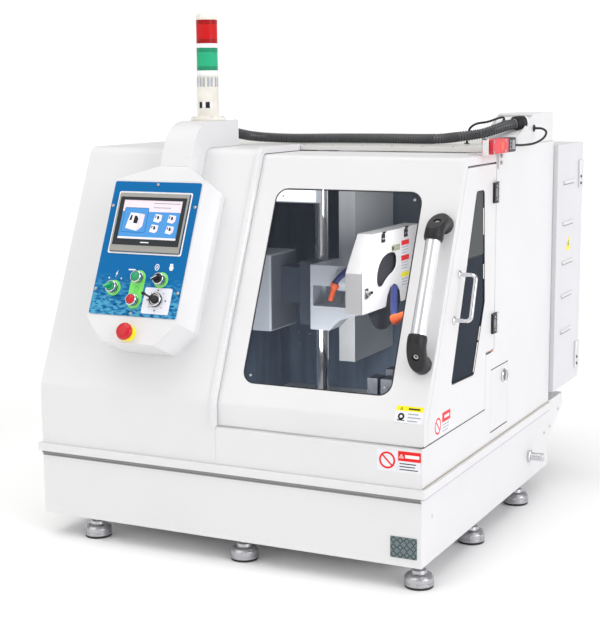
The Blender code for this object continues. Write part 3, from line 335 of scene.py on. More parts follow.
LABEL = ink("label_film", (0.8, 0.8, 0.84), 0.22)
LEGEND = ink("legend_plate", (0.78, 0.79, 0.86), 0.3)
SLATE = ink("slate_plate", (0.16, 0.21, 0.22), 0.4)
# Near-black painted shadow, set in the gaps round the side door and the flap and in the side slot.
SHADOW = ink("black_painted_shadow", (0.05, 0.05, 0.05), 0.7)
# Dark grey: painted shadow under the plinth's lip, painted shade in the louvre slots and the hatch latch's
# recess, and a frame line on the cabinet door.
SEAM_AND_SHADE = ink("seam_and_painted_shade", (0.27, 0.265, 0.27), 0.6)
OLIVE = ink("olive_plate", (0.36, 0.38, 0.24), 0.5)
TAN = ink("sealing_strip", (0.42, 0.37, 0.3), 0.6)
# Lilac painted shade under the plinth's lip on the right side.
LILAC = ink("lilac_painted_shade", (0.52, 0.5, 0.58), 0.6)
SCREEN_PINK = ink("screen_pink", (0.8, 0.68, 0.74), 0.12, 0.12)
SCREEN_BLUE = ink("screen_blue", (0.07, 0.28, 0.62), 0.12, 0.12)
SCREEN_DEEP = ink("screen_deep_blue", (0.03, 0.15, 0.42), 0.12, 0.12)
SCREEN_WHITE = ink("screen_white", (0.8, 0.77, 0.84), 0.12, 0.15)
LAMP = ink("lamp_diffuser", (0.88, 0.9, 0.92), 0.3, 1.6)
BLUE = printed_blue()
LINER = splashed_liner()
GLASS = glazing()
SIDE_GLASS = side_glazing()
GRIT = abrasive_grit()
TOWER_FOOT = LOW + ROOF + DUCT_RISE + GAP
LENS_RED = lens("red_lens", (0.56, 0.002, 0.004), TOWER_FOOT + 0.197, TOWER_FOOT + 0.257)
LENS_GREEN = lens("green_lens", (0.02, 0.42, 0.21), TOWER_FOOT + 0.128, TOWER_FOOT + 0.186)


# ---- outlines ----

def rounded(corners, radii, steps=6, closed=True):
    """Corners with arcs; a radius of 0 keeps the corner."""
    points = []
    for index, (corner, radius) in enumerate(zip(corners, radii)):
        here = Vector(corner)
        ends = not closed and index in (0, len(corners) - 1)
        if radius <= 0 or ends:
            points.append(tuple(here))
            continue
        before = (Vector(corners[index - 1]) - here).normalized()
        after = (Vector(corners[(index + 1) % len(corners)]) - here).normalized()
        half = before.angle(after) / 2
        centre = here + (before + after).normalized() * (radius / math.sin(half))
        reach = radius / math.tan(half)
        start = here + before * reach - centre
        sweep = start.angle_signed(here + after * reach - centre)
        points += [tuple(centre + Matrix.Rotation(-sweep * step / steps, 2) @ start)
                for step in range(steps + 1)]
    return points


def rectangle(left, low, right, high, radius=0.0, steps=6):
    return rounded([(left, low), (right, low), (right, high), (left, high)], [radius] * 4, steps)


def circle(across, along, radius, sides=40, stretch=1.0):
    turn = 2 * math.pi / sides
    return [(across + radius * math.cos(turn * n), along + stretch * radius * math.sin(turn * n))
            for n in range(sides)]


def stadium(low, high, radius, steps=18):
    """A slot's outline round two centres, the second above the first."""
    points = []
    for (across, along), start in ((low, math.pi), (high, 0.0)):
        for step in range(steps + 1):
            angle = start + math.pi * step / steps
            points.append((across + radius * math.cos(angle), along + radius * math.sin(angle)))
    return points


def smooth_route(places, spacing):
    """Points about one spacing apart along a smooth curve through a route's own points."""
    places = [2 * places[0] - places[1]] + places + [2 * places[-1] - places[-2]]
    route = []
    for one, two, three, four in zip(places, places[1:], places[2:], places[3:]):
        count = max(1, round((three - two).length / spacing))
        for step in range(count):
            t = step / count
            linear, square = three - one, 2 * one - 5 * two + 4 * three - four
            cube = 3 * two - one - 3 * three + four
            route.append(0.5 * (2 * two + linear * t + square * t ** 2 + cube * t ** 3))
    return route + [places[-2]]


# ---- building pieces ----

SHARP = math.radians(32)


def round_edges(shape, width, steps):
    edges = [edge for edge in shape.edges if edge.is_manifold and edge.calc_face_angle(0) > SHARP]
    bmesh.ops.bevel(shape, geom=edges, offset=width, offset_type="OFFSET", segments=steps, profile=0.5,
                    affect="EDGES", clamp_overlap=True)


def round_ring(shape, centre, radius, side, other, sides):
    """A circle of new points in the plane of two directions."""
    angles = [2 * math.pi * n / sides for n in range(sides)]
    return [shape.verts.new(centre + radius * (math.cos(a) * side + math.sin(a) * other)) for a in angles]


def skin(shape, rings):
    """Join rings of points into one closed tube."""
    for first, second in zip(rings, rings[1:]):
        for n in range(len(first)):
            after = (n + 1) % len(first)
            shape.faces.new((first[n], first[after], second[after], second[n]))
    shape.faces.new(rings[0][::-1])
    shape.faces.new(rings[-1])


class Piece:
    """One object made of closed shapes, each with its own look, in one face's frame."""

    def __init__(self, name, place=Matrix()):
        self.name, self.place = name, place
        self.shape, self.looks = bmesh.new(), []

    def add(self, shape, look, bevel=0.0, steps=2, turn=None):
        bmesh.ops.recalc_face_normals(shape, faces=shape.faces)
        if bevel:
            round_edges(shape, bevel, steps)
        if turn is not None:
            shape.transform(turn)
            bmesh.ops.recalc_face_normals(shape, faces=shape.faces)
        if look not in self.looks:
            self.looks.append(look)
        for edge in shape.edges:
            edge.smooth = edge.calc_face_angle(0) < SHARP
        for face in shape.faces:
            face.smooth = True
            face.material_index = self.looks.index(look)
        held = bpy.data.meshes.new("held")
        shape.to_mesh(held)
        shape.free()
        self.shape.from_mesh(held)
        bpy.data.meshes.remove(held)
        return self

    def box(self, low, high, look, bevel=0.0006, steps=2, turn=None):
        shape = bmesh.new()
        bmesh.ops.create_cube(shape, size=1)
        low, high = Vector(low), Vector(high)
        shape.transform(Matrix.Translation((low + high) / 2) @ Matrix.Diagonal((*(high - low), 1)))
        return self.add(shape, look, bevel, steps, turn)

    def rod(self, start, end, radius, look, sides=32, bevel=0.0004, turn=None):
        shape = bmesh.new()
        start, end = Vector(start), Vector(end)
        bmesh.ops.create_cone(shape, cap_ends=True, segments=sides, radius1=radius, radius2=radius,
                              depth=(end - start).length)
        aim = Vector((0, 0, 1)).rotation_difference(end - start).to_matrix().to_4x4()
        shape.transform(Matrix.Translation((start + end) / 2) @ aim)
        return self.add(shape, look, bevel, 2, turn)

    def turned(self, profile, look, base=(0, 0, 0), axis=(0, 0, 1), sides=48, bevel=0.0, turn=None):
        """Spin a (radius, height) profile about an axis through base."""
        shape = bmesh.new()
        line = [shape.verts.new((radius, 0, level)) for radius, level in profile]
        edges = [shape.edges.new(pair) for pair in zip(line, line[1:])]
        bmesh.ops.spin(shape, geom=line + edges, cent=(0, 0, 0), axis=(0, 0, 1), angle=2 * math.pi,
                       steps=sides, use_merge=True)
        bmesh.ops.remove_doubles(shape, verts=shape.verts, dist=0.000001)
        aim = Vector((0, 0, 1)).rotation_difference(Vector(axis)).to_matrix().to_4x4()
        shape.transform(Matrix.Translation(base) @ aim)
        return self.add(shape, look, bevel, 2, turn)

    def prism(self, outlines, low, high, look, bevel=0.0004, steps=2, turn=None):
        """A flat outline, with holes as further outlines, thickened from low to high."""
        shape = bmesh.new()
        for outline in outlines:
            line = [shape.verts.new((across, along, low)) for across, along in outline]
            for first, second in zip(line, line[1:] + line[:1]):
                shape.edges.new((first, second))
        bmesh.ops.triangle_fill(shape, edges=shape.edges, use_beauty=True, use_dissolve=True)
        made = bmesh.ops.extrude_face_region(shape, geom=shape.faces)["geom"]
        raised = [part for part in made if isinstance(part, bmesh.types.BMVert)]
        bmesh.ops.translate(shape, verts=raised, vec=(0, 0, high - low))
        return self.add(shape, look, bevel, steps, turn)

    def tube(self, points, radii, look, sides=16):
        """A round bar through points, with a radius at each or one for all."""
        shape = bmesh.new()
        points = [Vector(point) for point in points]
        if not isinstance(radii, (list, tuple)):
            radii = [radii] * len(points)
        side = (points[1] - points[0]).orthogonal().normalized()
        rings = []
        for index, (point, radius) in enumerate(zip(points, radii)):
            along = (points[min(index + 1, len(points) - 1)] - points[max(index - 1, 0)]).normalized()
            side = (side - along * side.dot(along)).normalized()
            rings.append(round_ring(shape, point, radius, side, along.cross(side), sides))
        skin(shape, rings)
        return self.add(shape, look)

    def done(self, body="enclosure", slot="white_paint", *replaced):
        """Make the object, ride it on its body and hide the CAD nodes that it stands for."""
        mesh = bpy.data.meshes.new(self.name)
        self.shape.transform(self.place)
        self.shape.to_mesh(mesh)
        self.shape.free()
        for look in self.looks:
            mesh.materials.append(look.made)
        made = bpy.data.objects.new(self.name, mesh)
        bpy.context.scene.collection.objects.link(made)
        normals = made.modifiers.new("Normals", "WEIGHTED_NORMAL")
        normals.keep_sharp = True
        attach(made, body)
        if replaced:
            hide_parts(*replaced)
        return made


def pan_screw(piece, across, along, level, radius, look=ZINC):
    """A domed screw with a socket, standing on a face."""
    rise = radius * 0.55
    shares = [(0, 0.45), (0.42, 0.45), (0.45, 1.0), (0.75, 0.86), (0.97, 0.4), (1.0, 0), (0, 0)]
    profile = [(radius * reach, level + rise * share) for reach, share in shares]
    piece.turned(profile, look, sides=20, turn=at(across, along))


def hex_screw(piece, across, along, level, radius, look=ZINC, degrees=10):
    """A hexagon head on its washer."""
    piece.rod((across, along, level), (across, along, level + radius * 0.25), radius * 1.25, look, 24,
            0.0002)
    turn = spin(across, along, degrees)
    piece.rod((0, 0, level + radius * 0.2), (0, 0, level + radius * 0.9), radius, look, 6, turn=turn)


def dress(name, look, bevel=0.0008, steps=2, angle=30):
    """Give a CAD node its material, clean shading and slightly rounded edges."""
    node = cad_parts[name]
    node.data.materials.clear()
    node.data.materials.append(look.made)
    if "custom_normal" in node.data.attributes:
        node.data.attributes.remove(node.data.attributes["custom_normal"])
    node.data.shade_smooth()
    weld = node.modifiers.new("Weld", "WELD")
    weld.merge_threshold = 0.00001
    flat = node.modifiers.new("Flatten", "DECIMATE")
    flat.decimate_type = "DISSOLVE"
    flat.angle_limit = math.radians(0.5)
    edge = node.modifiers.new("Edges", "BEVEL")
    edge.width = bevel
    edge.segments = steps
    edge.limit_method = "ANGLE"
    edge.angle_limit = math.radians(angle)
    edge.harden_normals = False
    node.modifiers.new("Normals", "WEIGHTED_NORMAL")


# ---- camera, light and floor ----

CAMERA_LENS, CAMERA_DOWN, CAMERA_TURN, CAMERA_ROLL = 84.33, 9.541, 26.385, -0.456
CAMERA_PLACE = (RIGHT + 1.121, FRONT - 2.873, LOW + 1.093)


def camera():
    """The photo's own view, fitted to the machine's edges."""
    data = bpy.data.cameras.new("camera")
    data.sensor_width = 36
    data.sensor_fit = "HORIZONTAL"
    data.lens = CAMERA_LENS
    data.clip_start, data.clip_end = 0.05, 200
    made = bpy.data.objects.new("camera", data)
    turn = Euler((math.radians(90 - CAMERA_DOWN), 0, math.radians(CAMERA_TURN))).to_matrix().to_4x4()
    made.matrix_world = Matrix.Translation(CAMERA_PLACE) @ turn @ spin(0, 0, CAMERA_ROLL)
    bpy.context.scene.collection.objects.link(made)
    bpy.context.scene.camera = made


def aimed(name, kind, direction, place=(0, 0, 3)):
    """A lamp of one kind at a place, shining along a direction."""
    data = bpy.data.lights.new(name, kind)
    made = bpy.data.objects.new(name, data)
    made.location = place
    made.rotation_euler = Vector(direction).to_track_quat("-Z", "Y").to_euler()
    bpy.context.scene.collection.objects.link(made)
    return data


def soft_sun(name, direction, radiance, colour, spread):
    """A distant lamp; a white sheet facing it gets this radiance from it."""
    data = aimed(name, "SUN", direction)
    data.energy = radiance * math.pi
    data.angle = math.radians(spread)
    data.color = colour


def soft_box(name, direction, place, across, along, watts):
    """A small lit rectangle, as the chamber's own lamps are."""
    data = aimed(name, "AREA", direction, place)
    data.shape = "RECTANGLE"
    data.size, data.size_y, data.energy = across, along, watts


def sky():
    """White at the horizon, a darker band above it and a paler top, so that metal has contrast."""
    world = bpy.data.worlds.new("studio")
    world.use_nodes = True
    tree = world.node_tree
    direction = tree.nodes.new("ShaderNodeTexCoord").outputs["Generated"]
    split = tree.nodes.new("ShaderNodeSeparateXYZ")
    ramp = tree.nodes.new("ShaderNodeValToRGB")
    tree.links.new(direction, split.inputs[0])
    tree.links.new(split.outputs["Z"], ramp.inputs["Fac"])
    steps = ramp.color_ramp.elements
    for position in (0.3, 0.6):
        steps.new(position)
    for step, (position, grey) in zip(steps, ((0.09, 1.0), (0.2, 0.5), (0.6, 0.42), (1.0, 0.8))):
        step.position = position
        step.color = (grey, grey, grey, 1)
    background = tree.nodes["Background"]
    tree.links.new(ramp.outputs["Color"], background.inputs["Color"])
    background.inputs["Strength"].default_value = 1.02
    bpy.context.scene.world = world


def studio():
    sky()
    soft_sun("key", (0.42, 0.75, -0.62), 0.145, (1.0, 0.985, 0.95), 45)
    soft_sun("fill", (-0.9, 0.22, -0.36), 0.4, (0.96, 0.955, 1.0), 40)
    soft_sun("top", (0.05, 0.15, -1.0), 0.37, (1.0, 1.0, 0.99), 60)
    soft_box("chamber_light", (-0.55, 0.5, -0.45), machine_point(0.075, 0.285, 0.74), 0.1, 0.22, 2.6)
    soft_box("chamber_wash", (-0.3, 0.85, 0.16), machine_point(0.46, 0.215, 0.35), 0.34, 0.1, 1.5)
    bpy.context.scene.view_settings.view_transform = "Standard"
    shape = bmesh.new()
    bmesh.ops.create_circle(shape, cap_ends=True, segments=96, radius=60)
    mesh = bpy.data.meshes.new("floor")
    shape.to_mesh(mesh)
    shape.free()
    floor = bpy.data.objects.new("floor", mesh)
    floor.location = (0, 0, -0.0002)
    pale = Look("pale_floor", (0.97, 0.97, 0.97), 0.7)
    pale.shades(pale.noise(2.0), 0.004)
    mesh.materials.append(pale.made)
    bpy.context.scene.collection.objects.link(floor)


# ---- cords ----

CONDUIT_ROUTE = machine_route(
    (0.732, 0.4304, 0.969), (0.732, 0.47, 0.969),
    (0.7, 0.53, 0.957), (0.62, 0.588, 0.9505),
    (0.5, 0.622, 0.9505), (0.36, 0.64, 0.9505),
    (0.22, 0.646, 0.9505), (0.15, 0.646, 0.957),
    (0.097, 0.655, 0.9645), (0.07, 0.67, 0.973),
    (0.0465, 0.695, 0.983), (0.0298, 0.72, 0.9883))
SENSOR_ROUTE = machine_route(
    (0.0715, 0.76533, 0.99638), (0.0715, 0.762, 1.0038),
    (0.078, 0.742, 1.003), (0.098, 0.714, 0.994),
    (0.128, 0.702, 0.988), (0.146, 0.7, 0.972),
    (0.152, 0.7, 0.9366))
INTERLOCK_ROUTE = machine_route(
    (-0.019, 0.5473, 0.942), (-0.0195, 0.59, 0.939),
    (-0.022, 0.65, 0.937), (-0.03, 0.712, 0.939),
    (-0.039, 0.76, 0.95), (-0.039, 0.787, 0.965),
    (-0.024, 0.799, 0.974), (-0.0003, 0.801, 0.975))
CONDUIT_RADIUS, RIB_PITCH, RIB_DEPTH = 0.0137, 0.0066, 0.002
LEAD_RADIUS = 0.003
CONDUIT_LENGTH, SENSOR_LENGTH, INTERLOCK_LENGTH = 0.84, 0.16, 0.292


def cords():
    path = smooth_route(CONDUIT_ROUTE, RIB_PITCH / 4)
    crest, trough = CONDUIT_RADIUS, CONDUIT_RADIUS - RIB_DEPTH
    radii = [(crest, crest, trough, trough)[index % 4] for index in range(len(path))]
    conduit = Piece("corrugated_conduit").tube(path, radii, HOSE, 20)
    conduit = conduit.done("enclosure", "black_plastic", "conduit")
    for name, node, route, length in (
            ("sensor_lead", "sensor_cable", SENSOR_ROUTE, SENSOR_LENGTH),
            ("interlock_lead", "interlock_cable", INTERLOCK_ROUTE, INTERLOCK_LENGTH)):
        path = smooth_route(route, 0.003)
        lead = Piece(name).tube(path, LEAD_RADIUS, RUBBER, 14).done("enclosure", "black_plastic", node)


# ---- sheet-metal body ----

def body_panels():
    for name in ("base_plinth", "left_shell", "right_side_panel", "front_sill", "back_panel",
            "terminal_box", "front_door", "side_door", "access_flap", "cable_duct", "wheel_guard",
            "guard_cover"):
        dress(name, WHITE)
    dress("control_box", WHITE, 0.0022, 3, 12)
    # The cabinet's darker, cooler paint is painted shade.
    for name in ("cabinet_box", "cabinet_door"):
        dress(name, CABINET_SHADED_WHITE)
    # The roof's darker, warmer paint is painted shade.
    dress("roof_panel", ROOF_SHADED_WHITE)
    dress("chamber_liner", LINER, 0.0004)
    dress("splash_shield", SATIN_STEEL, 0.0004)
    dress("guide_column", CHROME, 0.0005)
    dress("spindle_head", HEAD_GREY, 0.003, 3)
    dress("spindle_motor", HEAD_GREY, 0.006, 3)
    dress("work_table", IRON, 0.001)
    dress("vise_jaw", IRON, 0.001)
    dress("vise_lever", BLACK, 0.001)
    dress("front_window", GLASS, 0.0004)
    dress("side_window", SIDE_GLASS, 0.0004)
    dress("cutting_wheel", GRIT, 0.0003)


def opening_hem():
    """The folded edge that the shell turns in beside the sliding door, up to the roof's rail."""
    knee, brow, back = 0.04, 0.03, 0.4765
    outer = [(0.0004, 0.2795), (0.0004, KNEE), (LEAN_RUN, ROOF - 0.0004), (back, ROOF - 0.0004)]
    depth = 0.012
    lean = (math.pi / 2 - LEAN) / 2
    inner = [(depth, 0.2795), (depth, KNEE - depth * math.tan(LEAN / 2)),
             (LEAN_RUN + depth * math.tan(lean), ROOF - depth), (back, ROOF - depth)]
    band = rounded(outer, [0, knee, brow, 0], 8, False)
    band += rounded(inner, [0, knee - depth, brow - depth, 0], 8, False)[::-1]
    piece = Piece("opening_hem", RIGHT_SIDE)
    piece.prism([band], -0.5395, -0.5361, WHITE, 0.0004)
    piece.done()


def roof_details():
    """The screws along the roof's front rail and on top of the duct."""
    piece = Piece("roof_fasteners", ROOF_SIDE)
    for index in range(7):
        pan_screw(piece, -0.03 - 0.083 * index, 0.49, 0.0, 0.004)
    for side in (-1, 1):
        for front in (0.2, 0.38):
            pan_screw(piece, -DUCT_RIGHT + side * 0.036, front + 0.045, DUCT_RISE, 0.0032, WHITE)
    piece.done("enclosure", "plated_steel")


def plinth_details():
    lip = PLINTH_TOP - 0.02
    piece = Piece("plinth_lip_painted_shadow", FRONT_SIDE)
    # Two dark grey strips under the plinth's lip: painted shadow of the lip.
    for low, high, out in ((lip - 0.006, lip - 0.0005, 0.006), (lip - 0.0125, lip - 0.0085, 0.002)):
        piece.box((-WIDTH + 0.001, low, -0.002), (-0.001, high, out), SEAM_AND_SHADE, 0.0004)
    piece.done()
    side = Piece("side_seams_and_painted_shadows", RIGHT_SIDE)
    side.box((0.001, 0.1868, 0.0003), (0.99, 0.1892, 0.0016), TAN, 0.0004)
    # A lilac strip under the lip: painted shade of the lip.
    side.box((0.001, lip - 0.005, 0.0002), (0.99, lip - 0.0005, 0.006), LILAC, 0.0004)
    # Near-black strips in the gaps under the side door and along the flap's edges: painted shadow.
    for start, end, height in ((0.01, 0.43, 0.2826), (FLAP[0], FLAP[1], FLAP[2]), (FLAP[0], FLAP[1],
            FLAP[3])):
        side.box((start, height - 0.0012, -0.004), (end, height + 0.0012, 0.0002), SHADOW, 0)
    side.done()
    fittings = Piece("plinth_fittings", RIGHT_SIDE)
    nipple = (0.812, 0.07)
    fittings.turned([(0, 0.0085), (0.0085, 0.0085), (0.0165, 0.0085), (0.018, 0.007), (0.018, 0.0004),
                     (0, 0.0004)], CHROME, sides=6, bevel=0.0005, turn=at(*nipple))
    threads = [(0, 0.0435)]
    for turn in range(14):
        level = 0.0432 - turn * 0.0024
        threads += [(0.0106, level), (0.0112, level - 0.0008), (0.0104, level - 0.0016)]
    threads += [(0.0104, 0.006), (0, 0.006)]
    fittings.turned(threads, CHROME, turn=at(*nipple))
    hex_screw(fittings, 0.0655, 0.1085, 0.0, 0.0042, WHITE)
    for front, height in ((1.012, 0.11), (1.095, 0.145), (0.9579, 0.1025)):
        pan_screw(fittings, front, height, 0.0, 0.0042)
    fittings.done("enclosure", "chrome")
    plate = Piece("ornament_plate", FRONT_SIDE)
    left, low, right, high = -0.0765, 0.02, -0.0105, 0.0705
    plate.prism([rectangle(left, low, right, high, 0.002)], GAP, 0.0015, SLATE)
    columns, rows = 4, 3
    across, along = (right - left) / columns, (high - low) / rows
    for column in range(columns):
        for row in range(rows):
            centre = Vector((left + across * (column + 0.5), low + along * (row + 0.5)))
            diamonds = [[(centre.x + across * share * dx, centre.y + along * share * dy)
                         for dx, dy in ((1, 0), (0, 1), (-1, 0), (0, -1))] for share in (0.5, 0.36)]
            plate.prism(diamonds, 0.0014, 0.0018, INK_BLACK, 0)
    plate.done()


def feet():
    """Stainless levelling feet: rubber pad, turned bell, lock nut and threaded stem."""
    for number in range(1, 9):
        name = f"foot_{number}"
        low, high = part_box(name)
        piece = Piece(f"levelling_{name}", at((low.x + high.x) / 2, (low.y + high.y) / 2))
        piece.turned([(0, 0.0005), (0.0325, 0.0), (0.0338, 0.0012), (0.0338, 0.005), (0.03, 0.0062),
                (0, 0.0062)], RUBBER)
        bell = rounded([(0, 0.0058), (0.0348, 0.0058), (0.0348, 0.012), (0.0338, 0.0128),
                (0.0338, 0.014), (0.0345, 0.0148), (0.0345, 0.0245), (0.03, 0.031), (0.02, 0.0335),
                (0.019, 0.0345), (0.0178, 0.042), (0.012, 0.0435), (0, 0.0435)], [0, 0.001, 0.0005,
                0.0003, 0.0003, 0.0005, 0.004, 0.006, 0.001, 0.001, 0.002, 0.002, 0], 5, False)
        piece.turned(bell, STAINLESS, sides=56)
        piece.rod((0, 0, 0.043), (0, 0, 0.05), 0.0125, ZINC, 6, 0.0008)
        stem = [(0, 0.0597)]
        for turn in range(5):
            level = 0.0595 - turn * 0.002
            stem += [(0.0078, level), (0.007, level - 0.001)]
        stem += [(0.007, 0.049), (0, 0.049)]
        piece.turned(stem, ZINC, sides=24)
        piece.done("enclosure", "plated_steel", name)


# ---- labels, all without words ----

def printed(piece, left, low, right, high, level, look, thick=THIN):
    """A rectangle of ink on a label."""
    piece.box((left, low, level), (right, high, level + thick), look, 0)


def label_text(piece, left, right, high, rows, pitch, level, look, ragged=0):
    """Grey bars that stand for lines of small print."""
    draw = random.Random(7 + ragged)
    for row in range(rows):
        end = left + (right - left) * draw.uniform(0.72, 1.0)
        top = high - row * pitch
        printed(piece, left, top - pitch * 0.34, end, top, level, look, INK_DEPTH)


def warning_triangle(piece, across, along, size, level, look, field):
    outer = rounded([(across - size, along - size * 0.58), (across + size, along - size * 0.58),
                     (across, along + size * 1.15)], [size * 0.2] * 3, 4)
    inner = rounded([(across - size * 0.66, along - size * 0.39), (across + size * 0.66,
            along - size * 0.39), (across, along + size * 0.76)], [size * 0.1] * 3, 4)
    piece.prism([outer], level, level + INK_DEPTH, look, 0)
    piece.prism([inner], level + THIN, level + 0.0002, field, 0)
    piece.box((across - size * 0.09, along - size * 0.08, level + 0.00018),
              (across + size * 0.09, along + size * 0.42, level + 0.0003), look, 0)
    piece.prism([circle(across, along - size * 0.22, size * 0.1, 16)], level + 0.00018, level + 0.0003,
            look, 0)


def barred_ring(piece, across, along, radius, level, look):
    """A ring with a slanting bar: the general sign for not allowed."""
    piece.prism([circle(across, along, radius), circle(across, along, radius * 0.77)], level,
            level + 0.00015, look, 0)
    turn = spin(across, along, -45)
    piece.box((-radius * 0.86, -radius * 0.1, level), (radius * 0.86, radius * 0.1, level + 0.00014),
            look, 0, turn=turn)


def labels():
    film, print_level = GAP, GAP + THIN
    sill = Piece("sill_label", FRONT_SIDE)
    sill.prism([rectangle(-0.1105, 0.2225, -0.0605, 0.2725, 0.002)], GAP / 3, film, LABEL, 0)
    sill.prism([rectangle(-0.0585, 0.2235, -0.002, 0.2735, 0.001)], GAP / 3, film, LABEL, 0)
    barred_ring(sill, -0.085, 0.2485, 0.02, film, INK_RED)
    printed(sill, -0.058, 0.25, -0.0025, 0.273, film, INK_RED)
    warning_triangle(sill, -0.05, 0.26, 0.006, print_level, INK_WHITE, INK_RED)
    printed(sill, -0.041, 0.2575, -0.0065, 0.265, print_level, INK_WHITE)
    label_text(sill, -0.0545, -0.005, 0.245, 3, 0.0068, film, INK_BLACK)
    sill.done()
    level = DOOR_SKIN + film
    hood = Piece("hood_label", LEANING)
    hood.prism([rectangle(-0.0735, 0.0015, -0.006, 0.041, 0.001)], DOOR_SKIN + GAP / 3, level, LABEL, 0)
    printed(hood, -0.073, 0.029, -0.0065, 0.0405, level, INK_YELLOW)
    warning_triangle(hood, -0.06, 0.0335, 0.0042, level + THIN, INK_BLACK, INK_YELLOW)
    printed(hood, -0.043, 0.0325, -0.015, 0.0365, level + THIN, INK_BLACK)
    hood.prism([circle(-0.059, 0.016, 0.008), circle(-0.059, 0.016, 0.0035)], level, level + THIN,
               INK_BLACK, 0)
    printed(hood, -0.068, 0.006, -0.05, 0.0085, level, INK_BLACK)
    label_text(hood, -0.043, -0.011, 0.024, 3, 0.008, level, INK_GREY, 1)
    hood.done("front_door_body", "white_paint")
    side = Piece("side_door_label", RIGHT_SIDE)
    side.prism([rectangle(0.074, 0.288, 0.18, 0.34, 0.001)], GAP / 3, film, LABEL, 0)
    barred_ring(side, 0.0985, 0.314, 0.02, film, INK_RED)
    printed(side, 0.126, 0.316, 0.1795, 0.339, film, INK_RED)
    printed(side, 0.14, 0.324, 0.172, 0.331, print_level, INK_WHITE)
    label_text(side, 0.128, 0.177, 0.311, 3, 0.0075, film, INK_GREY, 2)
    side.done("side_door_body", "white_paint")


# ---- control box ----

def control_plate():
    piece = Piece("switch_plate", LEANING)
    piece.prism([rectangle(-0.871, 0.172, -0.621, 0.5175, 0.005)], BOX_FACE + GAP, PLATE_FACE, BLUE)
    top = PLATE_FACE + 0.0007
    start, stop = BUTTONS["start_button"], BUTTONS["stop_button"]
    legend_radius = 0.02
    piece.prism([stadium(stop, start, legend_radius)], PLATE_FACE - 0.0002, top, LIME, 0.0002)
    middle = ((start[0] + stop[0]) / 2, (start[1] + stop[1]) / 2)
    piece.prism([circle(*middle, 0.006, stretch=1.35), circle(*middle, 0.0046, stretch=1.42)], top - 0.0001,
                top + 0.0003, MINT, 0)
    for across, along in SELECTORS.values():
        piece.prism([circle(across, along, legend_radius)], PLATE_FACE - 0.0002, top, LIME, 0.0002)
    lip, bore, floor = 0.0148, 0.0121, PLATE_FACE + 0.0005
    for across, along in (*BUTTONS.values(), *SELECTORS.values()):
        profile = [(0, floor), (bore, floor), (bore, COLLAR_FACE - 0.0006),
                (bore + 0.0006, COLLAR_FACE), (lip - 0.0012, COLLAR_FACE), (lip, COLLAR_FACE - 0.0012),
                (lip, COLLAR_FACE - 0.007), (lip - 0.001, COLLAR_FACE - 0.0076),
                (lip - 0.001, top + 0.0062), (lip - 0.0016, top + 0.0058), (lip - 0.0016,
                top + 0.0042), (lip + 0.0002, top + 0.0036), (lip + 0.0002, top - 0.0002),
                (0, top - 0.0002)]
        piece.turned(profile, CHROME, turn=at(across, along))
        piece.turned([(lip - 0.0018, top + 0.0041), (lip - 0.0006, top + 0.0041),
                (lip - 0.0006, top + 0.0059), (lip - 0.0018, top + 0.0059), (lip - 0.0018,
                top + 0.0041)], BLACK, turn=at(across, along))
    for across, along in ((-0.7455, 0.5105), (-0.8645, 0.4525), (-0.6275, 0.455), (-0.8655, 0.2355),
                          (-0.6285, 0.2365), (-0.749, 0.1785)):
        pan_screw(piece, across, along, PLATE_FACE, 0.0043)
    plate_symbols(piece, PLATE_FACE)
    piece.done("enclosure", "blue_plate", "control_plate")


def plate_symbols(piece, level):
    """Plain marks by the switches: a bolt between two ticks, a dash, a ring and a blob."""
    top = level + 0.0004
    bolt = [(0.003, 0.0095), (-0.0034, -0.001), (-0.0004, -0.001), (-0.003, -0.0095), (0.0034, 0.0014),
            (0.0004, 0.0014)]
    marks = ([[(-0.8117 + x, 0.277 + y) for x, y in bolt]],
             [circle(-0.8316, 0.2648, 0.0016, 16, 1.6)], [circle(-0.796, 0.2648, 0.0016, 16, 1.6)],
             [circle(-0.7002, 0.2984, 0.0062, 32, 1.35), circle(-0.7002, 0.2984, 0.0044, 32, 1.45)],
             [circle(-0.7002, 0.2984, 0.0015, 16, 2.4)], [circle(-0.6598, 0.2985, 0.0058, 32, 1.25)],
             [rectangle(-0.665, 0.303, -0.656, 0.309, 0.002)])
    for mark in marks:
        piece.prism(mark, level - THIN, top, INK_WHITE, 0)
    piece.box((-0.78, 0.287, level - THIN), (-0.76, 0.2905, top), INK_WHITE, 0.0001)


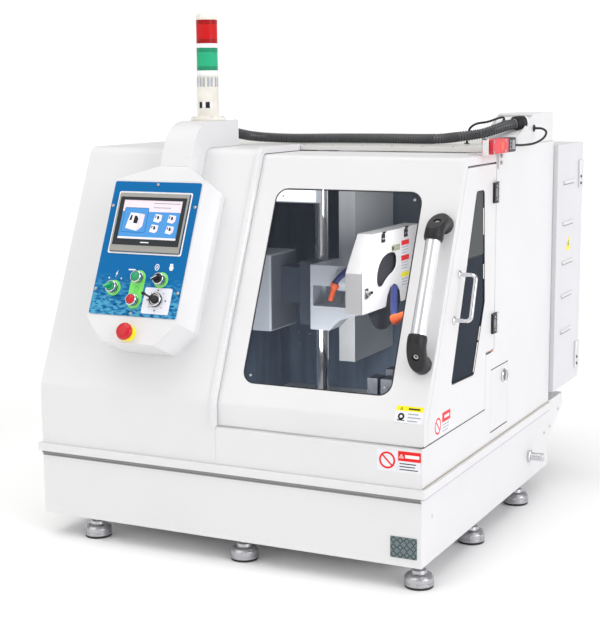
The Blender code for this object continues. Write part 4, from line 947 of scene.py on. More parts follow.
def touch_panel():
    """Printed frame, silver bezel, black surround and a lit screen of plain shapes."""
    piece = Piece("touch_screen", LEANING)
    level = PLATE_FACE + GAP
    piece.prism([rectangle(-0.852, 0.3285, -0.6395, 0.4908, 0.005), rectangle(-0.8478, 0.3325, -0.6432,
            0.4868, 0.003)], level, level + 0.0008, INK_WHITE, 0.0002)
    bezel = [rectangle(-0.8455, 0.3335, -0.645, 0.4855, 0.002), rectangle(-0.8415, 0.35, -0.65, 0.475,
            0.001)]
    piece.prism(bezel, level, PLATE_FACE + 0.0062, SILVER, 0.001, 3)
    surround = [rectangle(-0.8418, 0.3497, -0.6497, 0.4753, 0.001), rectangle(-0.83, 0.3665, -0.6615,
            0.4675)]
    piece.prism(surround, level, PLATE_FACE + 0.0054, SATIN_BLACK, 0.0006)
    piece.box((-0.76, 0.3565, PLATE_FACE + 0.0053), (-0.736, 0.3592, PLATE_FACE + 0.0056), INK_WHITE, 0)
    glass, step = PLATE_FACE + 0.004, THIN
    left, right, low, high = -0.8305, -0.661, 0.366, 0.468
    piece.box((left, low, level), (right, high, glass), SCREEN_BLUE, 0)
    piece.box((left + 0.0006, 0.438, glass - step), (right - 0.0006, high - 0.0006, glass + step),
            SCREEN_PINK, 0)
    piece.box((left + 0.0006, low + 0.0006, glass - step), (right - 0.0006, 0.372, glass + step),
            SCREEN_WHITE, 0)
    for bottom, start, end in ((0.459, -0.742, -0.668), (0.448, -0.742, -0.692)):
        piece.box((start, bottom, glass), (end, bottom + 0.0022, glass + 2 * step), INK_GREY, 0)
    piece.prism([rectangle(-0.824, 0.383, -0.7535, 0.448, 0.004)], glass, glass + 2 * step, SCREEN_DEEP, 0)
    piece.prism([rectangle(-0.8225, 0.3845, -0.755, 0.4465, 0.003)], glass + step, glass + 3 * step,
            SCREEN_BLUE, 0)
    icon(piece, -0.7885, 0.413, 0.027, glass + 2 * step)
    for across, along in ((-0.7245, 0.4225), (-0.6845, 0.4215), (-0.73, 0.3955), (-0.685, 0.3935)):
        icon(piece, across, along, 0.0125, glass)
    piece.done("enclosure", "black_plastic", "touch_panel")


def icon(piece, across, along, half, level):
    """A plain cabinet seen from one corner: a front, a side, a door and a window."""
    front = [(-0.9, -0.7), (0.35, -0.95), (0.45, 0.25), (0.25, 0.75), (-0.6, 0.8), (-0.75, 0.1)]
    side = [(0.38, -0.95), (0.9, -0.5), (0.95, 0.65), (0.28, 0.75), (0.48, 0.25)]
    window = [(-0.15, -0.2), (0.28, -0.25), (0.34, 0.2), (0.15, 0.5), (-0.1, 0.5)]
    panel = [(-0.62, 0.05), (-0.38, 0.05), (-0.33, 0.55), (-0.52, 0.55)]
    for shape, look, lift in ((front, SCREEN_WHITE, 0), (side, SCREEN_PINK, 0), (window, INK_BLACK, 1),
                              (panel, INK_BLACK, 1)):
        outline = [(across + half * x, along + half * y) for x, y in shape]
        piece.prism([outline], level + lift * THIN, level + (lift + 2) * THIN, look, 0)


PLASTIC_SLOTS = {GREEN: "green_plastic", RED: "red_plastic", BLACK: "black_plastic"}


def buttons():
    for name, look in (("start_button", GREEN), ("stop_button", RED)):
        across, along = BUTTONS[name]
        dome = [(0, 0.0045), (0.005, 0.0042), (0.0085, 0.0034), (0.0104, 0.002), (0.0113, 0.0),
                (0.0113, -0.003), (0, -0.003)]
        profile = [(radius, COLLAR_FACE + rise) for radius, rise in dome]
        piece = Piece(name + "_cap", LEANING)
        piece.turned(profile, look, turn=at(across, along))
        piece.done(name + "_body", PLASTIC_SLOTS[look], name)


def selectors():
    """Round knobs with a raised tapering grip and a line along it."""
    for name, look, line in (("power_selector", GREEN, LIME), ("mode_selector", BLACK, INK_WHITE)):
        across, along = SELECTORS[name]
        piece = Piece(name + "_knob", LEANING)
        profile = [(0, 0.004), (0.0098, 0.004), (0.0113, 0.0025), (0.0113, -0.003), (0, -0.003)]
        piece.turned([(radius, COLLAR_FACE + rise) for radius, rise in profile], look,
                     turn=at(across, along))
        turn = spin(across, along, 30)
        grip = rounded([(-0.0105, -0.0028), (0.0105, -0.0046), (0.0105, 0.0046), (-0.0105, 0.0028)],
                       [0.002] * 4)
        piece.prism([grip], COLLAR_FACE + 0.003, COLLAR_FACE + 0.0145, look, 0.0012, 3, turn)
        piece.box((-0.011, -0.0006, COLLAR_FACE + 0.014), (0.006, 0.001, COLLAR_FACE + 0.0148), line,
                0.0002, turn=turn)
        piece.done(name + "_body", PLASTIC_SLOTS[look], name)


def emergency_stop():
    face = BOX_FACE + GAP
    middle = at(*ESTOP)
    collar = Piece("stop_collar", LEANING)
    collar.turned([(0.01, face + 0.002), (0.01, face + 0.0116), (0.0104, face + 0.012),
            (0.019, face + 0.012), (0.02, face + 0.0112), (0.0205, face + 0.002), (0.0205, face),
            (0, face), (0, face + 0.002), (0.01, face + 0.002)], YELLOW, turn=middle)
    collar.done("enclosure", "yellow_plastic", "estop_collar")
    rim, top = face + 0.0175, face + 0.03
    button = Piece("stop_mushroom", LEANING)
    profile = rounded([(0, top), (0.012, top - 0.0004), (0.019, top - 0.0032), (0.0218, top - 0.0085),
                       (0.0212, rim), (0.0165, rim), (0.015, rim + 0.0035), (0.0092, rim + 0.0035),
                       (0.0092, face + 0.0075), (0, face + 0.0075)],
                      [0, 0.012, 0.008, 0.004, 0.001, 0.0006, 0.001, 0, 0, 0], 6, False)
    button.turned(profile, RED, sides=64, turn=middle)
    for degrees in (90, 210, 330):
        turn = spin(*ESTOP, degrees)
        arrow = [(0.0085, -0.0012), (0.012, -0.003), (0.012, -0.0008), (0.0135, 0.0024), (0.0118, 0.003),
                 (0.0108, 0.0004), (0.0085, 0.0008)]
        button.prism([arrow], top - 0.0032, top - 0.0003, RED, 0.0001, turn=turn)
    button.done("estop_body", "red_plastic", "estop_button")


def joystick():
    across, along = JOYSTICK
    face = PLATE_FACE + GAP
    middle = at(across, along)
    plate = Piece("joystick_legend", LEANING)
    plate.prism([rectangle(-0.7205, 0.1805, -0.6435, 0.2465, 0.004), circle(across, along, 0.0141)], face,
                face + 0.0015, LEGEND, 0.0004)
    ring = [(0.0143, face + 0.001), (0.0143, face + 0.0128), (0.015, face + 0.0136),
            (0.0166, face + 0.0134), (0.0176, face + 0.0122), (0.0176, face + 0.007),
            (0.0182, face + 0.0066), (0.0182, face + 0.001), (0.0143, face + 0.001)]
    plate.turned(ring, CHROME, turn=middle)
    plate.turned([(0.0178, face + 0.0072), (0.0186, face + 0.0072), (0.0186, face + 0.0108),
            (0.0178, face + 0.0108), (0.0178, face + 0.0072)], BLACK, turn=middle)
    plate.prism([circle(across, along, 0.0142)], PLATE_FACE + 0.0001, PLATE_FACE + 0.0012, BLACK, 0)
    marks = face + 0.0014
    for degrees in range(0, 360, 45):
        size = 0.0016 if degrees % 90 else 0.0026
        turn = spin(across, along, degrees)
        plate.prism([[(0.024, -size), (0.024 + size * 1.8, 0), (0.024, size)]], marks, marks + 0.0004,
                INK_BLACK, 0, turn=turn)
    plate.done("enclosure", "black_plastic", "joystick_base")
    gimbal = Piece("joystick_cradle", LEANING)
    gimbal.turned([(0.0106, -0.0016), (0.013, -0.0016), (0.013, 0.0016), (0.0106, 0.0016),
            (0.0106, -0.0016)], ZINC, base=(across, along, JOYSTICK_PIVOT))
    gimbal.done("joystick_gimbal_body", "plated_steel", "joystick_gimbal")
    lever = Piece("joystick_boot_and_lever", LEANING)
    boot = [(0, -0.0034)]
    folds = [(0.0094, -0.003), (0.0099, 0.001), (0.009, 0.0026), (0.0097, 0.005), (0.0084, 0.0064),
             (0.009, 0.0088), (0.007, 0.0102), (0.0072, 0.0124), (0.005, 0.0142), (0.0034, 0.0165)]
    boot += rounded(folds, [0.0008] * len(folds), 4, False)
    boot += [(0, 0.0165)]
    lever.turned(boot, RUBBER, base=(across, along, JOYSTICK_PIVOT))
    stick = rounded([(0, 0.013), (0.0024, 0.013), (0.0024, 0.046), (0.0042, 0.05), (0.0042, 0.0575),
                     (0.0028, 0.0608), (0, 0.061)], [0, 0, 0.001, 0.002, 0.002, 0.002, 0], 5, False)
    lever.turned(stick, BLACK, base=(across, along, JOYSTICK_PIVOT))
    lever.done("joystick_lever_body", "black_plastic", "joystick_lever")


# ---- signal tower ----

def ribbed_ring(radius, depth, ribs):
    """An outline with shallow upright ribs round a circle."""
    points = []
    for rib in range(ribs):
        start = 2 * math.pi * rib / ribs
        for share, reach in ((0.0, radius), (0.35, radius), (0.5, radius - depth), (0.85, radius - depth)):
            angle = start + share * 2 * math.pi / ribs
            points.append((reach * math.cos(angle), reach * math.sin(angle)))
    return points


def signal_tower():
    """A stacked lamp column; its outer shell is round and each lens has fine upright ribs."""
    base = machine_point(DUCT_RIGHT, 0.345, TOWER_FOOT - LOW)
    place = Matrix.Translation(base)
    radius = 0.0276
    body = Piece("tower_column", place)
    body.turned(rounded([(0, 0), (0.046, 0), (0.046, 0.008), (0.03, 0.011), (0.029, 0.011),
            (0.0272, 0.0135), (0.0272, 0.115), (0, 0.115)], [0, 0.001, 0.002, 0.001, 0, 0.001, 0.0005,
            0], 4, False), CREAM, sides=64)
    body.turned([(0, 0.1152), (radius, 0.1152), (radius + 0.0004, 0.1165), (radius + 0.0004, 0.127),
                 (radius, 0.1283), (0, 0.1283)], INK_WHITE, sides=64)
    for degrees in range(-92, 268, 45):
        turn = spin(0, 0, degrees)
        body.box((0.0255, -0.007, 0.0865), (0.027, 0.007, 0.1115), INK_GREY, 0.0003, turn=turn)
        for rib in range(11):
            level = 0.0885 + rib * 0.0021
            body.box((0.0262, -0.0062, level - 0.0006), (0.0276, 0.0062, level + 0.0006), PALE_GREY,
                    0.0002, turn=turn)
        flat = spin(0, 0, degrees + 22.5)
        body.box((0.0262, -0.0022, 0.014), (0.028, 0.0022, 0.1145), CREAM, 0.0004, turn=flat)
    for degrees, half in ((-103, 0.004), (-80, 0.003), (-62, 0.0052), (-42, 0.003)):
        turn = spin(0, 0, degrees)
        look = INK_BLACK if half > 0.0035 else INK_WHITE
        body.box((0.0255, -half, 0.0325), (0.0283, half, 0.048), look, 0.0002, turn=turn)
    for degrees in (45, 135, 225, 315):
        x, y = 0.0385 * math.cos(math.radians(degrees)), 0.0385 * math.sin(math.radians(degrees))
        pan_screw(body, x, y, 0.009, 0.0036)
    body.done("enclosure", "grey_paint", "tower_body")
    for name, node, look, low, high in (("green_lamp", "tower_green_lens", LENS_GREEN, 0.1285, 0.186),
                                        ("red_lamp", "tower_red_lens", LENS_RED, 0.1972, 0.257)):
        lamp = Piece(name, place)
        band = (high - low) * 0.2
        lamp.turned([(0, low), (radius, low), (radius, low + band), (radius - 0.0012, low + band),
                     (0, low + band)], look, sides=64)
        lamp.turned([(0, high - band), (radius - 0.0012, high - band), (radius, high - band),
                (radius, high), (0, high)], look, sides=64)
        lamp.prism([ribbed_ring(radius - 0.0004, 0.0006, 60)], low + band - 0.0004,
                high - band + 0.0004, look, 0)
        if look is LENS_GREEN:
            lamp.turned([(0, high), (radius, high), (radius + 0.0004, high + 0.001), (radius + 0.0004,
                    0.1958), (radius, 0.197), (0, 0.197)], INK_WHITE, sides=64)
        else:
            cap = rounded([(0, high), (radius, high), (radius, 0.264), (0.0225, 0.2722), (0, 0.2727)],
                          [0, 0, 0.004, 0.006, 0], 6, False)
            lamp.turned(cap, CREAM, sides=64)
            lamp.rod((-0.006, 0, 0.272), (-0.006, 0, 0.2729), 0.003, INK_GREY, 20, 0.0002)
        slot = "green_plastic" if look is LENS_GREEN else "red_plastic"
        lamp.done("enclosure", slot, node)


# ---- roof wiring fittings and the door interlock ----

def wiring_fittings():
    piece = Piece("cable_glands")
    mouth = machine_point(0.0285, 0.722, 0.9885)
    outward = (mouth - machine_point(0.008, 0.752, 0.9925)).normalized()
    profile = [(0.0137, 0.0), (0.017, 0.0)]
    for ring in range(5):
        level = -0.001 - ring * 0.004
        profile += [(0.019, level), (0.019, level - 0.0026), (0.0178, level - 0.0032)]
    profile += [(0.0178, -0.03), (0.0137, -0.03), (0.0137, 0.0)]
    piece.turned(profile, BLACK, base=mouth, axis=outward, sides=56)
    end = machine_point(0.0715, 0.7655, 0.996)
    small = (end - machine_point(0.0715, 0.7704, 0.985)).normalized()
    piece.turned([(0.0032, 0.0), (0.0054, 0.0), (0.0056, -0.004), (0.0072, -0.0044), (0.0072, -0.0078),
                  (0.0032, -0.0078), (0.0032, 0.0)], RUBBER, base=end, axis=small, sides=32)
    piece.turned([(0.0031, 0.0), (0.006, 0.0), (0.009, 0.0006), (0.0095, 0.002), (0.005, 0.0034),
            (0.0031, 0.006), (0.0031, 0.0)], RUBBER, base=machine_point(-0.0001, 0.801, 0.975),
            axis=(1, 0, 0), sides=28)
    piece.turned([(0.0031, 0.0), (0.0075, 0.0), (0.0072, 0.0015), (0.0031, 0.003), (0.0031, 0.0)], RUBBER,
                 base=machine_point(0.152, 0.7, ROOF + 0.0001), sides=24)
    piece.turned([(0.0138, -0.0001), (0.0185, -0.0001), (0.0185, 0.003), (0.0165, 0.0042), (0.0138, 0.0042),
                  (0.0138, -0.0001)], BLACK, base=CONDUIT_ROUTE[0], axis=(0, 1, 0), sides=56)
    piece.done("enclosure", "black_plastic")


def interlock():
    """The guard-lock switch on its bracket, and the key that the sliding door carries."""
    switch = Piece("guard_switch", RIGHT_SIDE)
    inner, outer, low, high = 0.0055, 0.0335, 0.9253, 0.9607
    front_end, red_end, back_end = 0.3485, 0.486, 0.5465
    switch.box((front_end, low - 0.002, 0.013), (front_end + 0.0035, high + 0.003, 0.0275), WHITE, 0.0006)
    switch.box((front_end, high - 0.0005, 0.013), (front_end + 0.016, high + 0.003, 0.024), WHITE, 0.0006)
    switch.box((front_end + 0.003, 0.936, 0.011), (front_end + 0.02, 0.95, 0.025), ZINC, 0.0008)
    switch.prism([rectangle(front_end + 0.0185, low, red_end, high, 0.003)], inner, outer, CORAL, 0.0012, 3)
    switch.prism([rectangle(0.426, 0.934, 0.448, 0.953, 0.001)], outer - 0.0002, outer + 0.0005,
            ORANGE, 0.0002)
    for front in (0.376, 0.464):
        for height in (low + 0.005, high - 0.005):
            pan_screw(switch, front, height, outer - 0.0004, 0.0036)
    switch.prism([rectangle(red_end - 0.0005, low, back_end, high, 0.003)], inner, outer - 0.001,
            BLACK, 0.0012, 3)
    for height in (low + 0.0085, low + 0.0175, low + 0.0265):
        switch.prism([circle(0.505, height, 0.0036, 20)], outer - 0.0012, outer - 0.0004, INK_GREY, 0.0002)
    switch.box((0.518, low + 0.006, outer - 0.0012), (0.538, high - 0.006, outer - 0.0005), INK_GREY,
            0.0002)
    switch.rod((0.546, 0.942, 0.019), (0.55, 0.942, 0.019), 0.0052, BLACK, 24)
    switch.done("enclosure", "red_plastic", "interlock_switch")
    bracket = Piece("switch_bracket", RIGHT_SIDE)
    bracket.prism([rectangle(0.502, 0.8825, 0.54, 0.958, 0.004)], 0.0004, 0.005, WHITE, 0.0008)
    for height in (0.898, 0.915):
        hex_screw(bracket, 0.515, height, 0.005, 0.0045, ZINC, 20)
    bracket.done()
    top = ROOF - 0.014 + GAP
    key = Piece("switch_key")
    key.box(*machine_route((0.042, 0.404, top), (0.003, 0.451, top + 0.003)), WHITE, 0.0006)
    key.box(*machine_route((0.0062, 0.404, top + 0.001), (0.003, 0.451, 0.958)), WHITE, 0.0008)
    key.box(*machine_route((0.004, 0.42, 0.9405), (-0.014, 0.435, 0.9435)), ZINC, 0.0004)
    for front in (0.416, 0.439):
        spot = machine_point(0.027, front, top + 0.003)
        key.turned([(0, 0.0014), (0.0018, 0.0014), (0.002, 0.0032), (0.0036, 0.0026), (0.0044, 0.0),
                (0, 0)], ZINC, base=spot, sides=24)
    key.done("front_door_body", "plated_steel", "interlock_key")


# ---- sliding door ----

WINDOW = (-0.4815, 0.058, -0.0925, 0.555)
WINDOW_CORNER = 0.032


def window_seal():
    left, low, right, high = WINDOW
    grow = 0.0006
    lip = 0.003
    outer = rectangle(left + grow, low + grow, right - grow, high - grow, WINDOW_CORNER, 10)
    inner = rectangle(left + lip, low + lip, right - lip, high - lip, WINDOW_CORNER - lip, 10)
    seal = Piece("window_seal", LEANING)
    seal.prism([outer, inner], DOOR_SKIN - 0.0022, DOOR_SKIN + 0.0002, RUBBER, 0.0006)
    for across in (left + 0.02, right - 0.02):
        for along in (low + 0.02, high - 0.02):
            pan_screw(seal, across, along, DOOR_SKIN - 0.0022, 0.0034)
    seal.done("front_door_body", "black_plastic")


HANDLE_ACROSS, HANDLE_MIDDLE = -0.0277, 0.3065
HANDLE_LEVEL, TUBE_RADIUS, TUBE_HALF = DOOR_SKIN + 0.055, 0.0175, 0.112


def door_handle():
    """A ribbed aluminium tube between two moulded brackets."""
    tube = Piece("handle_grip", LEANING)
    ring = []
    sides = 72
    for n in range(sides):
        angle = 2 * math.pi * n / sides
        flute = 0.0004 if n % 24 == 0 else 0.0
        reach = TUBE_RADIUS - 0.0002 - flute
        ring.append((reach * math.cos(angle), reach * math.sin(angle)))
    turn = at(HANDLE_ACROSS, HANDLE_MIDDLE, HANDLE_LEVEL) @ Matrix.Rotation(math.pi / 2, 4, "X")
    tube.prism([ring], -TUBE_HALF, TUBE_HALF, ALUMINIUM, 0, turn=turn)
    tube.done("front_door_body", "aluminium", "handle_tube")
    for name, way in (("handle_cap_top", 1), ("handle_cap_bottom", -1)):
        cap = Piece(name + "_moulding", LEANING)
        aim = at(HANDLE_ACROSS, HANDLE_MIDDLE, DOOR_SKIN) @ Matrix.Diagonal((1, way, 1, 1))
        cap.add(*elbow(), turn=aim)
        face = aim @ ELBOW_FACE
        outward = Vector((0, way, 1)).normalized()
        cap.turned([(0, -0.0066), (0.003, -0.0066), (0.003, -0.004), (0.0058, -0.0034),
                (0.0066, -0.0066), (0, -0.0066)], ZINC, base=face, axis=outward, sides=24)
        cap.done("front_door_body", "black_plastic", name)


ELBOW_START, ELBOW_LEVEL, ELBOW_TURN, ELBOW_RADIUS, ELBOW_CUT = 0.1128, 0.055, 0.042, 0.0228, 0.052
ELBOW_FACE = Vector((0, 0.126 + ELBOW_CUT / math.sqrt(2), ELBOW_LEVEL - ELBOW_TURN + ELBOW_CUT
        / math.sqrt(2)))


def elbow():
    """A round bar that bends down to the door, cut off flat across the bend with a screw well."""
    centre = Vector((0, 0.126, ELBOW_LEVEL - ELBOW_TURN))
    places = [(Vector((0, ELBOW_START + 0.0022 * step, ELBOW_LEVEL)), 0.0) for step in range(6)]
    for step in range(25):
        angle = step / 24 * math.pi / 2
        offset = Vector((0, math.sin(angle), math.cos(angle))) * ELBOW_TURN
        places.append((centre + offset, angle))
    places += [(Vector((0, centre.y + ELBOW_TURN, level)), math.pi / 2) for level in (0.0085, 0.004, GAP)]
    shape = bmesh.new()
    across = Vector((1, 0, 0))
    rings = []
    for index, (place, angle) in enumerate(places):
        radius = ELBOW_RADIUS - 0.0016 * max(0, 3 - index) / 3
        up = Vector((0, math.sin(angle), math.cos(angle)))
        rings.append(round_ring(shape, place, radius, across, up, 56))
    skin(shape, rings)
    normal = Vector((0, 1, 1)).normalized()
    everything = shape.verts[:] + shape.edges[:] + shape.faces[:]
    cut = bmesh.ops.bisect_plane(shape, geom=everything, plane_co=ELBOW_FACE, plane_no=normal,
            clear_outer=True)
    rim = [part for part in cut["geom_cut"] if isinstance(part, bmesh.types.BMEdge)]
    well = round_ring(shape, ELBOW_FACE, 0.0088, across, Vector((0, -1, 1)).normalized(), 32)
    lip = [shape.edges.new(pair) for pair in zip(well, well[1:] + well[:1])]
    bmesh.ops.triangle_fill(shape, edges=rim + lip, use_beauty=True, use_dissolve=True, normal=normal)
    wall = bmesh.ops.extrude_edge_only(shape, edges=lip)["geom"]
    floor = [part for part in wall if isinstance(part, bmesh.types.BMVert)]
    bmesh.ops.translate(shape, verts=floor, vec=-normal * 0.0065)
    shape.faces.new(floor)
    return shape, BLACK, 0.0009, 2


# ---- hinged side door, hatch and their fittings ----

SIDE_PANE = [(0.183, 0.393), (0.345, 0.388), (0.42, 0.56), (0.408, 0.838), (0.35, 0.838)]
SIDE_RADII = [0.008, 0.012, 0.03, 0.012, 0.012]


def shrunk(corners, inset):
    """The same outline pulled in by a distance on every side."""
    points = [Vector(corner) for corner in corners]
    result = []
    for index, here in enumerate(points):
        before = (here - points[index - 1]).normalized()
        after = (points[(index + 1) % len(points)] - here).normalized()
        inward = Vector((-before.y, before.x)) + Vector((-after.y, after.x))
        spread = 1 + before.dot(after)
        result.append(tuple(here + inward * (inset / spread)))
    return result


def rear_edge(height):
    """How far back the side pane reaches at a height."""
    (foot, low), (corner, bend), (head, top) = SIDE_PANE[1], SIDE_PANE[2], SIDE_PANE[3]
    if height < bend:
        return foot + (height - low) * (corner - foot) / (bend - low)
    return corner + (height - bend) * (head - corner) / (top - bend)


def side_door_fittings():
    seal = Piece("side_window_seal", RIGHT_SIDE)
    outer = rounded(shrunk(SIDE_PANE, 0.0004), SIDE_RADII)
    inner = rounded(shrunk(SIDE_PANE, 0.0034), [max(radius - 0.003, 0.003) for radius in SIDE_RADII])
    seal.prism([outer, inner], -0.0022, 0.0002, RUBBER, 0.0005)
    seal.done("side_door_body", "black_plastic")
    strips = Piece("side_window_strips", RIGHT_SIDE)
    for low, high in ((0.396, 0.465), (0.47, 0.503), (0.618, 0.655), (0.728, 0.794)):
        ends = [(rear_edge(low) - 0.009, low), (rear_edge(low) - 0.0038, low),
                (rear_edge(high) - 0.0038, high), (rear_edge(high) - 0.009, high)]
        strips.prism([ends], -0.0016, -0.0004, CREAM, 0.0003)
    strips.done("side_door_body", "white_paint")
    handle = Piece("side_door_pull", RIGHT_SIDE)
    top, bottom, stand, bend = Vector((0.232, 0.651, 0)), Vector((0.197, 0.547, 0)), 0.042, 0.011
    along = (bottom - top).normalized()
    out = Vector((0, 0, 1))
    route = [top + out * GAP]
    for corner, before, after in ((top + out * stand, -out, along), (bottom + out * stand, -along, -out)):
        for step in range(9):
            angle = step / 8 * math.pi / 2
            early, late = bend * (1 - math.sin(angle)), bend * (1 - math.cos(angle))
            route.append(corner + before * early + after * late)
    route.append(bottom + out * GAP)
    handle.tube(route, 0.005, CHROME, 24)
    for foot in (top, bottom):
        handle.turned([(0, 0.0003), (0.0098, 0.0003), (0.01, 0.0012), (0.0092, 0.003), (0.007, 0.0048),
                       (0.0052, 0.0056), (0, 0.0056)], CHROME, base=foot)
    handle.done("side_door_body", "chrome", "side_handle")
    hinge_line = 0.4973
    for index, level in enumerate((0.826, 0.496)):
        for side, body in ((-1, "side_door_body"), (1, "enclosure")):
            name = f"hinge_{index + 1}_{'door' if side < 0 else 'frame'}"
            leaf = Piece(name, RIGHT_SIDE)
            near, far = hinge_line + side * 0.0016, hinge_line + side * (0.0302 if side < 0 else 0.0082)
            low, high = min(near, far), max(near, far)
            leaf.prism([rectangle(low, level - 0.0262, high, level + 0.0262, 0.0015)], 0.0004, 0.0073,
                    BLACK, 0.001, 3)
            if side < 0:
                for rise in (-0.0165, 0.0165):
                    pan_screw(leaf, (low + high) / 2, level + rise, 0.0071, 0.0036)
                for stripe in (0.0075, 0.0125, 0.0175):
                    leaf.box((low + stripe, level - 0.011, 0.0071), (low + stripe + 0.0022,
                            level + 0.011, 0.0077), ZINC, 0.0003)
            knuckles = ((-0.0255, -0.009), (0.009, 0.0255)) if side > 0 else ((-0.0085, 0.0085),)
            for start, end in knuckles:
                leaf.rod((hinge_line, level + start, 0.007), (hinge_line, level + end, 0.007), 0.0032,
                        CHROME, 24)
            leaf.done(body, "black_plastic")


def hatch_fittings():
    across, along = 0.573, 0.345
    latch = Piece("hatch_latch", RIGHT_SIDE)
    latch.turned(rounded([(0, -0.015), (0.0088, -0.015), (0.0088, 0.0004), (0.0177, 0.0004),
            (0.0177, 0.004), (0.015, 0.0062), (0, 0.0062)], [0, 0, 0, 0.0006, 0.001, 0.001, 0], 3,
            False), CHROME, turn=at(across, along))
    # A dark grey disc inside the latch's chrome ring: painted shade in its recess.
    latch.prism([circle(0, 0, 0.0142)], 0.006, 0.0066, SEAM_AND_SHADE, 0.0002, 1, spin(across, along, 0))
    latch.prism([stadium((0, -0.0085), (0, 0.0085), 0.0052, 10)], 0.0058, 0.0132, CHROME, 0.0016, 3,
                spin(across, along, -8))
    latch.box((-0.0012, -0.008, 0.012), (0.0012, 0.008, 0.0135), INK_BLACK, 0.0002, turn=spin(across,
            along, -8))
    latch.box((across - 0.039, along - 0.006, -0.016), (across, along + 0.006, -0.0135), ZINC, 0.0005)
    latch.done("flap_latch_body", "chrome", "flap_latch")
    # The slot's black part is painted shade inside the slot; the orange end is the part's own colour.
    mark = Piece("side_slot", RIGHT_SIDE)
    mark.box((0.434, 0.4222, 0.0002), (0.468, 0.4262, 0.0012), SHADOW, 0.0003)
    mark.box((0.468, 0.4222, 0.0002), (0.488, 0.4262, 0.0012), ORANGE, 0.0003)
    mark.done("enclosure", "black_plastic")


# ---- rear cabinet ----

CABINET_OVER = 0.013               # how far its sides stand out past the body
CABINET_FRONT, CABINET_DEPTH, CABINET_DOOR = 0.998, 0.24, 0.022


def louvre(piece, across, along, width, out):
    """A pressed louvre: a half-round hood over a slot, with painted shade in the slot."""
    radius = 0.0056
    points = [(0, -radius), (radius, -radius * 0.2), (radius * 0.86, radius * 0.5),
            (radius * 0.5, radius * 0.86), (0, radius)]
    aim = at(across - width / 2, along, out) @ Matrix.Rotation(math.pi / 2, 4, "Y")
    outline = [(-x, y) for x, y in points]
    piece.prism([outline], 0, width, WHITE, 0.0006, turn=aim)
    # A dark grey strip under the hood: painted shade in the slot.
    piece.box((across - width / 2 + 0.003, along - radius - 0.0012, out - 0.0002),
              (across + width / 2 - 0.003, along - radius + 0.0004, out + 0.0016), SEAM_AND_SHADE, 0)


def cabinet_details():
    out = CABINET_OVER
    right = Piece("cabinet_louvres_right", RIGHT_SIDE)
    left = Piece("cabinet_louvres_left", LEFT_SIDE)
    middle = CABINET_FRONT + 0.112
    for height in (0.813, 0.695, 0.582, 0.485, 0.38):
        louvre(right, middle, height, 0.11, out)
        louvre(left, -middle, height, 0.11, out)
    right.done()
    left.done()
    middle += 0.01
    mark = Piece("cabinet_label", RIGHT_SIDE)
    mark.prism([rounded([(middle - 0.024, 0.615), (middle + 0.024, 0.615), (middle, 0.657)],
            [0.004] * 3, 4)], out + GAP / 3, out + 0.0004, INK_YELLOW, 0)
    mark.prism([[(middle - 0.002, 0.643), (middle - 0.007, 0.63), (middle - 0.001, 0.63),
            (middle - 0.003, 0.619), (middle + 0.006, 0.634), (middle, 0.634), (middle + 0.003,
            0.643)]], out + 0.0004, out + 0.0005, INK_BLACK, 0)
    mark.done()
    door_face = CABINET_FRONT + CABINET_DEPTH
    for index, height in enumerate((0.83, 0.288)):
        hinge = Piece(f"cabinet_hinge_{index + 1}", RIGHT_SIDE)
        hinge.prism([rectangle(door_face - 0.026, height - 0.04, door_face - 0.0012, height + 0.04, 0.003)],
                    out + 0.0003, out + 0.005, WHITE, 0.001)
        hinge.rod((door_face, height - 0.04, out + 0.0045), (door_face, height + 0.04, out + 0.0045),
                0.005, WHITE)
        for rise in (-0.028, -0.008):
            pan_screw(hinge, door_face - 0.014, height + rise, out + 0.005, 0.0045, BLACK)
        hinge.done()
    rear = facing((RIGHT, FRONT + door_face + CABINET_DOOR + GAP, LOW), (-1, 0, 0), (0, 0, 1))
    door = Piece("cabinet_door_fittings", rear)
    for height in (0.33, 0.345, 0.36, 0.375, 0.39, 0.405):
        for across in (0.26, 0.79):
            louvre(door, across, height, 0.18, 0.0)
    door.prism([rectangle(0.4, 0.64, 0.65, 0.8, 0.003), rectangle(0.404, 0.644, 0.646, 0.796, 0.002)],
            0.0002, 0.0012, SEAM_AND_SHADE, 0.0003)
    door.prism([rounded([(0.47, 0.52), (0.58, 0.52), (0.525, 0.615)], [0.006] * 3, 4)], GAP / 3, 0.0004,
               INK_YELLOW, 0)
    door.done("cabinet_door_body", "white_paint")
    low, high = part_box("cabinet_latch")
    along = (low.z + high.z) / 2 - LOW
    lock_across = WIDTH + CABINET_OVER - 0.045
    latch = Piece("cabinet_turn_latch", rear)
    spot = at(lock_across, along)
    latch.turned(rounded([(0, -0.018), (0.0108, -0.018), (0.0108, 0.0003), (0.0158, 0.0003),
            (0.0158, 0.0055), (0.0135, 0.008), (0, 0.008)], [0, 0, 0, 0.001, 0.001, 0.001, 0], 3,
            False), BLACK, turn=spot)
    latch.prism([stadium((0, -0.0105), (0, 0.0105), 0.004, 10)], 0.006, 0.0178, BLACK, 0.0015, 3, spot)
    latch.box((0, -0.008, -0.016), (0.03, 0.008, -0.013), ZINC, 0.0005, turn=spot)
    latch.done("cabinet_latch_body", "black_plastic", "cabinet_latch")


# ---- inside the chamber ----

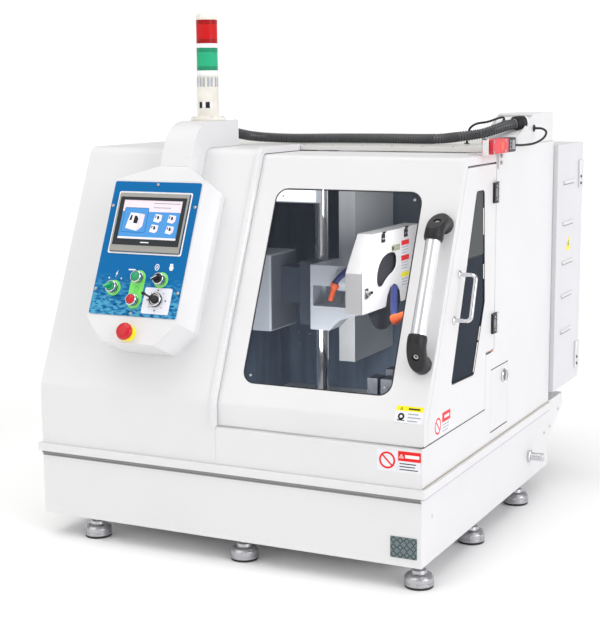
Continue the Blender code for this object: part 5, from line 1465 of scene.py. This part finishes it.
def chamber_details():
    """The lamp, the liner's fixings, and the spray nozzles with their hoses."""
    lamp = Piece("chamber_lamp")
    lamp.box(*machine_route((0.64, 0.505, 0.782), (0.5, 0.53, 0.82)), PALE_GREY, 0.002)
    lamp.box(*machine_route((0.634, 0.502, 0.786), (0.506, 0.506, 0.816)), LAMP, 0.001)
    lamp.done("enclosure", "grey_paint")
    wall = facing(machine_point(0, 0.9276, 0), (1, 0, 0), (0, 0, 1))
    studs = Piece("liner_fixings", wall)
    for across in (-0.73, -0.767, -0.806, -0.833):
        for height in (0.345, 0.421, 0.496):
            pan_screw(studs, across, height, 0.0, 0.0034)
    for across, height in ((-0.766, 0.311), (-0.787, 0.379), (-0.765, 0.526), (-0.7, 0.62), (-0.62, 0.7)):
        pan_screw(studs, across, height, 0.0, 0.003)
    studs.done("enclosure", "plated_steel")
    spray = Piece("spray_nozzles")
    hose = machine_route((0.392, 0.484, 0.614), (0.404, 0.47, 0.604), (0.418, 0.466, 0.59),
            (0.431, 0.466, 0.574))
    spray.tube(smooth_route(hose, 0.004), 0.0095, NAVY)
    cone = [(0, 0.0), (0.0125, 0.0), (0.013, 0.006), (0.0105, 0.014), (0.0075, 0.018), (0.007, 0.05),
            (0, 0.05)]
    spray.turned(cone, ORANGE, base=machine_point(0.429, 0.466, 0.577), axis=(-0.34, 0.0, -1), sides=32)
    spray.turned([(0, 0.0), (0.0085, 0.0), (0.0095, 0.01), (0.0105, 0.034), (0.013, 0.04),
            (0.013, 0.052), (0, 0.052)], ORANGE, base=machine_point(0.172, 0.352, 0.531),
            axis=(-0.9, 0.0, -0.42), sides=32)
    hose = machine_route((0.206, 0.354, 0.516), (0.222, 0.372, 0.512), (0.24, 0.41, 0.525),
            (0.258, 0.455, 0.556), (0.268, 0.48, 0.572))
    spray.tube(smooth_route(hose, 0.004), 0.009, NAVY)
    spray.done("head_body", "red_plastic")


def head_details():
    """Clips, a knob and labels on the wheel guard's hinged cover."""
    cover = facing(machine_point(0.28, 0, 0), (0, 1, 0), (0, 0, 1))
    detail = Piece("guard_cover_fittings", cover)
    for front in (0.432, 0.585):
        detail.box((front - 0.011, 0.694, GAP / 3), (front + 0.011, 0.716, 0.003), BLACK, 0.0008)
        for offset in (-0.006, 0.006):
            pan_screw(detail, front + offset, 0.704, 0.0028, 0.0028)
        detail.rod((front - 0.012, 0.7195, 0.0016), (front + 0.012, 0.7195, 0.0016), 0.003, CHROME, 20)
    detail.prism([rectangle(0.314, 0.564, 0.334, 0.59, 0.002)], GAP / 3, 0.0035, ZINC, 0.0008)
    detail.rod((0.324, 0.577, 0.003), (0.324, 0.577, 0.012), 0.0065, ZINC, 24, 0.0008)
    detail.box((0.33, 0.573, 0.006), (0.346, 0.581, 0.011), BLACK, 0.0015)
    detail.prism([rectangle(0.49, 0.664, 0.548, 0.68, 0.001)], GAP / 3, GAP, OLIVE, 0)
    printed(detail, 0.494, 0.668, 0.506, 0.676, GAP, INK_BLACK)
    printed(detail, 0.512, 0.67, 0.544, 0.674, GAP, INK_GREY)
    for low, high, look in ((0.673, 0.687, INK_RED), (0.632, 0.647, INK_RED), (0.588, 0.602, INK_YELLOW)):
        detail.prism([rectangle(0.555, low - 0.026, 0.612, high, 0.001)], GAP / 3, GAP, LABEL, 0)
        printed(detail, 0.556, low, 0.611, high - 0.001, GAP, look)
        label_text(detail, 0.559, 0.608, low - 0.004, 3, 0.0075, GAP, INK_GREY, int(low * 1000))
    detail.done("guard_cover_body", "white_paint")


camera()
studio()
cords()
body_panels()
opening_hem()
roof_details()
plinth_details()
feet()
labels()
control_plate()
touch_panel()
buttons()
selectors()
emergency_stop()
joystick()
signal_tower()
wiring_fittings()
interlock()
window_seal()
door_handle()
side_door_fittings()
hatch_fittings()
cabinet_details()
chamber_details()
head_details()

bpy.context.view_layer.update()
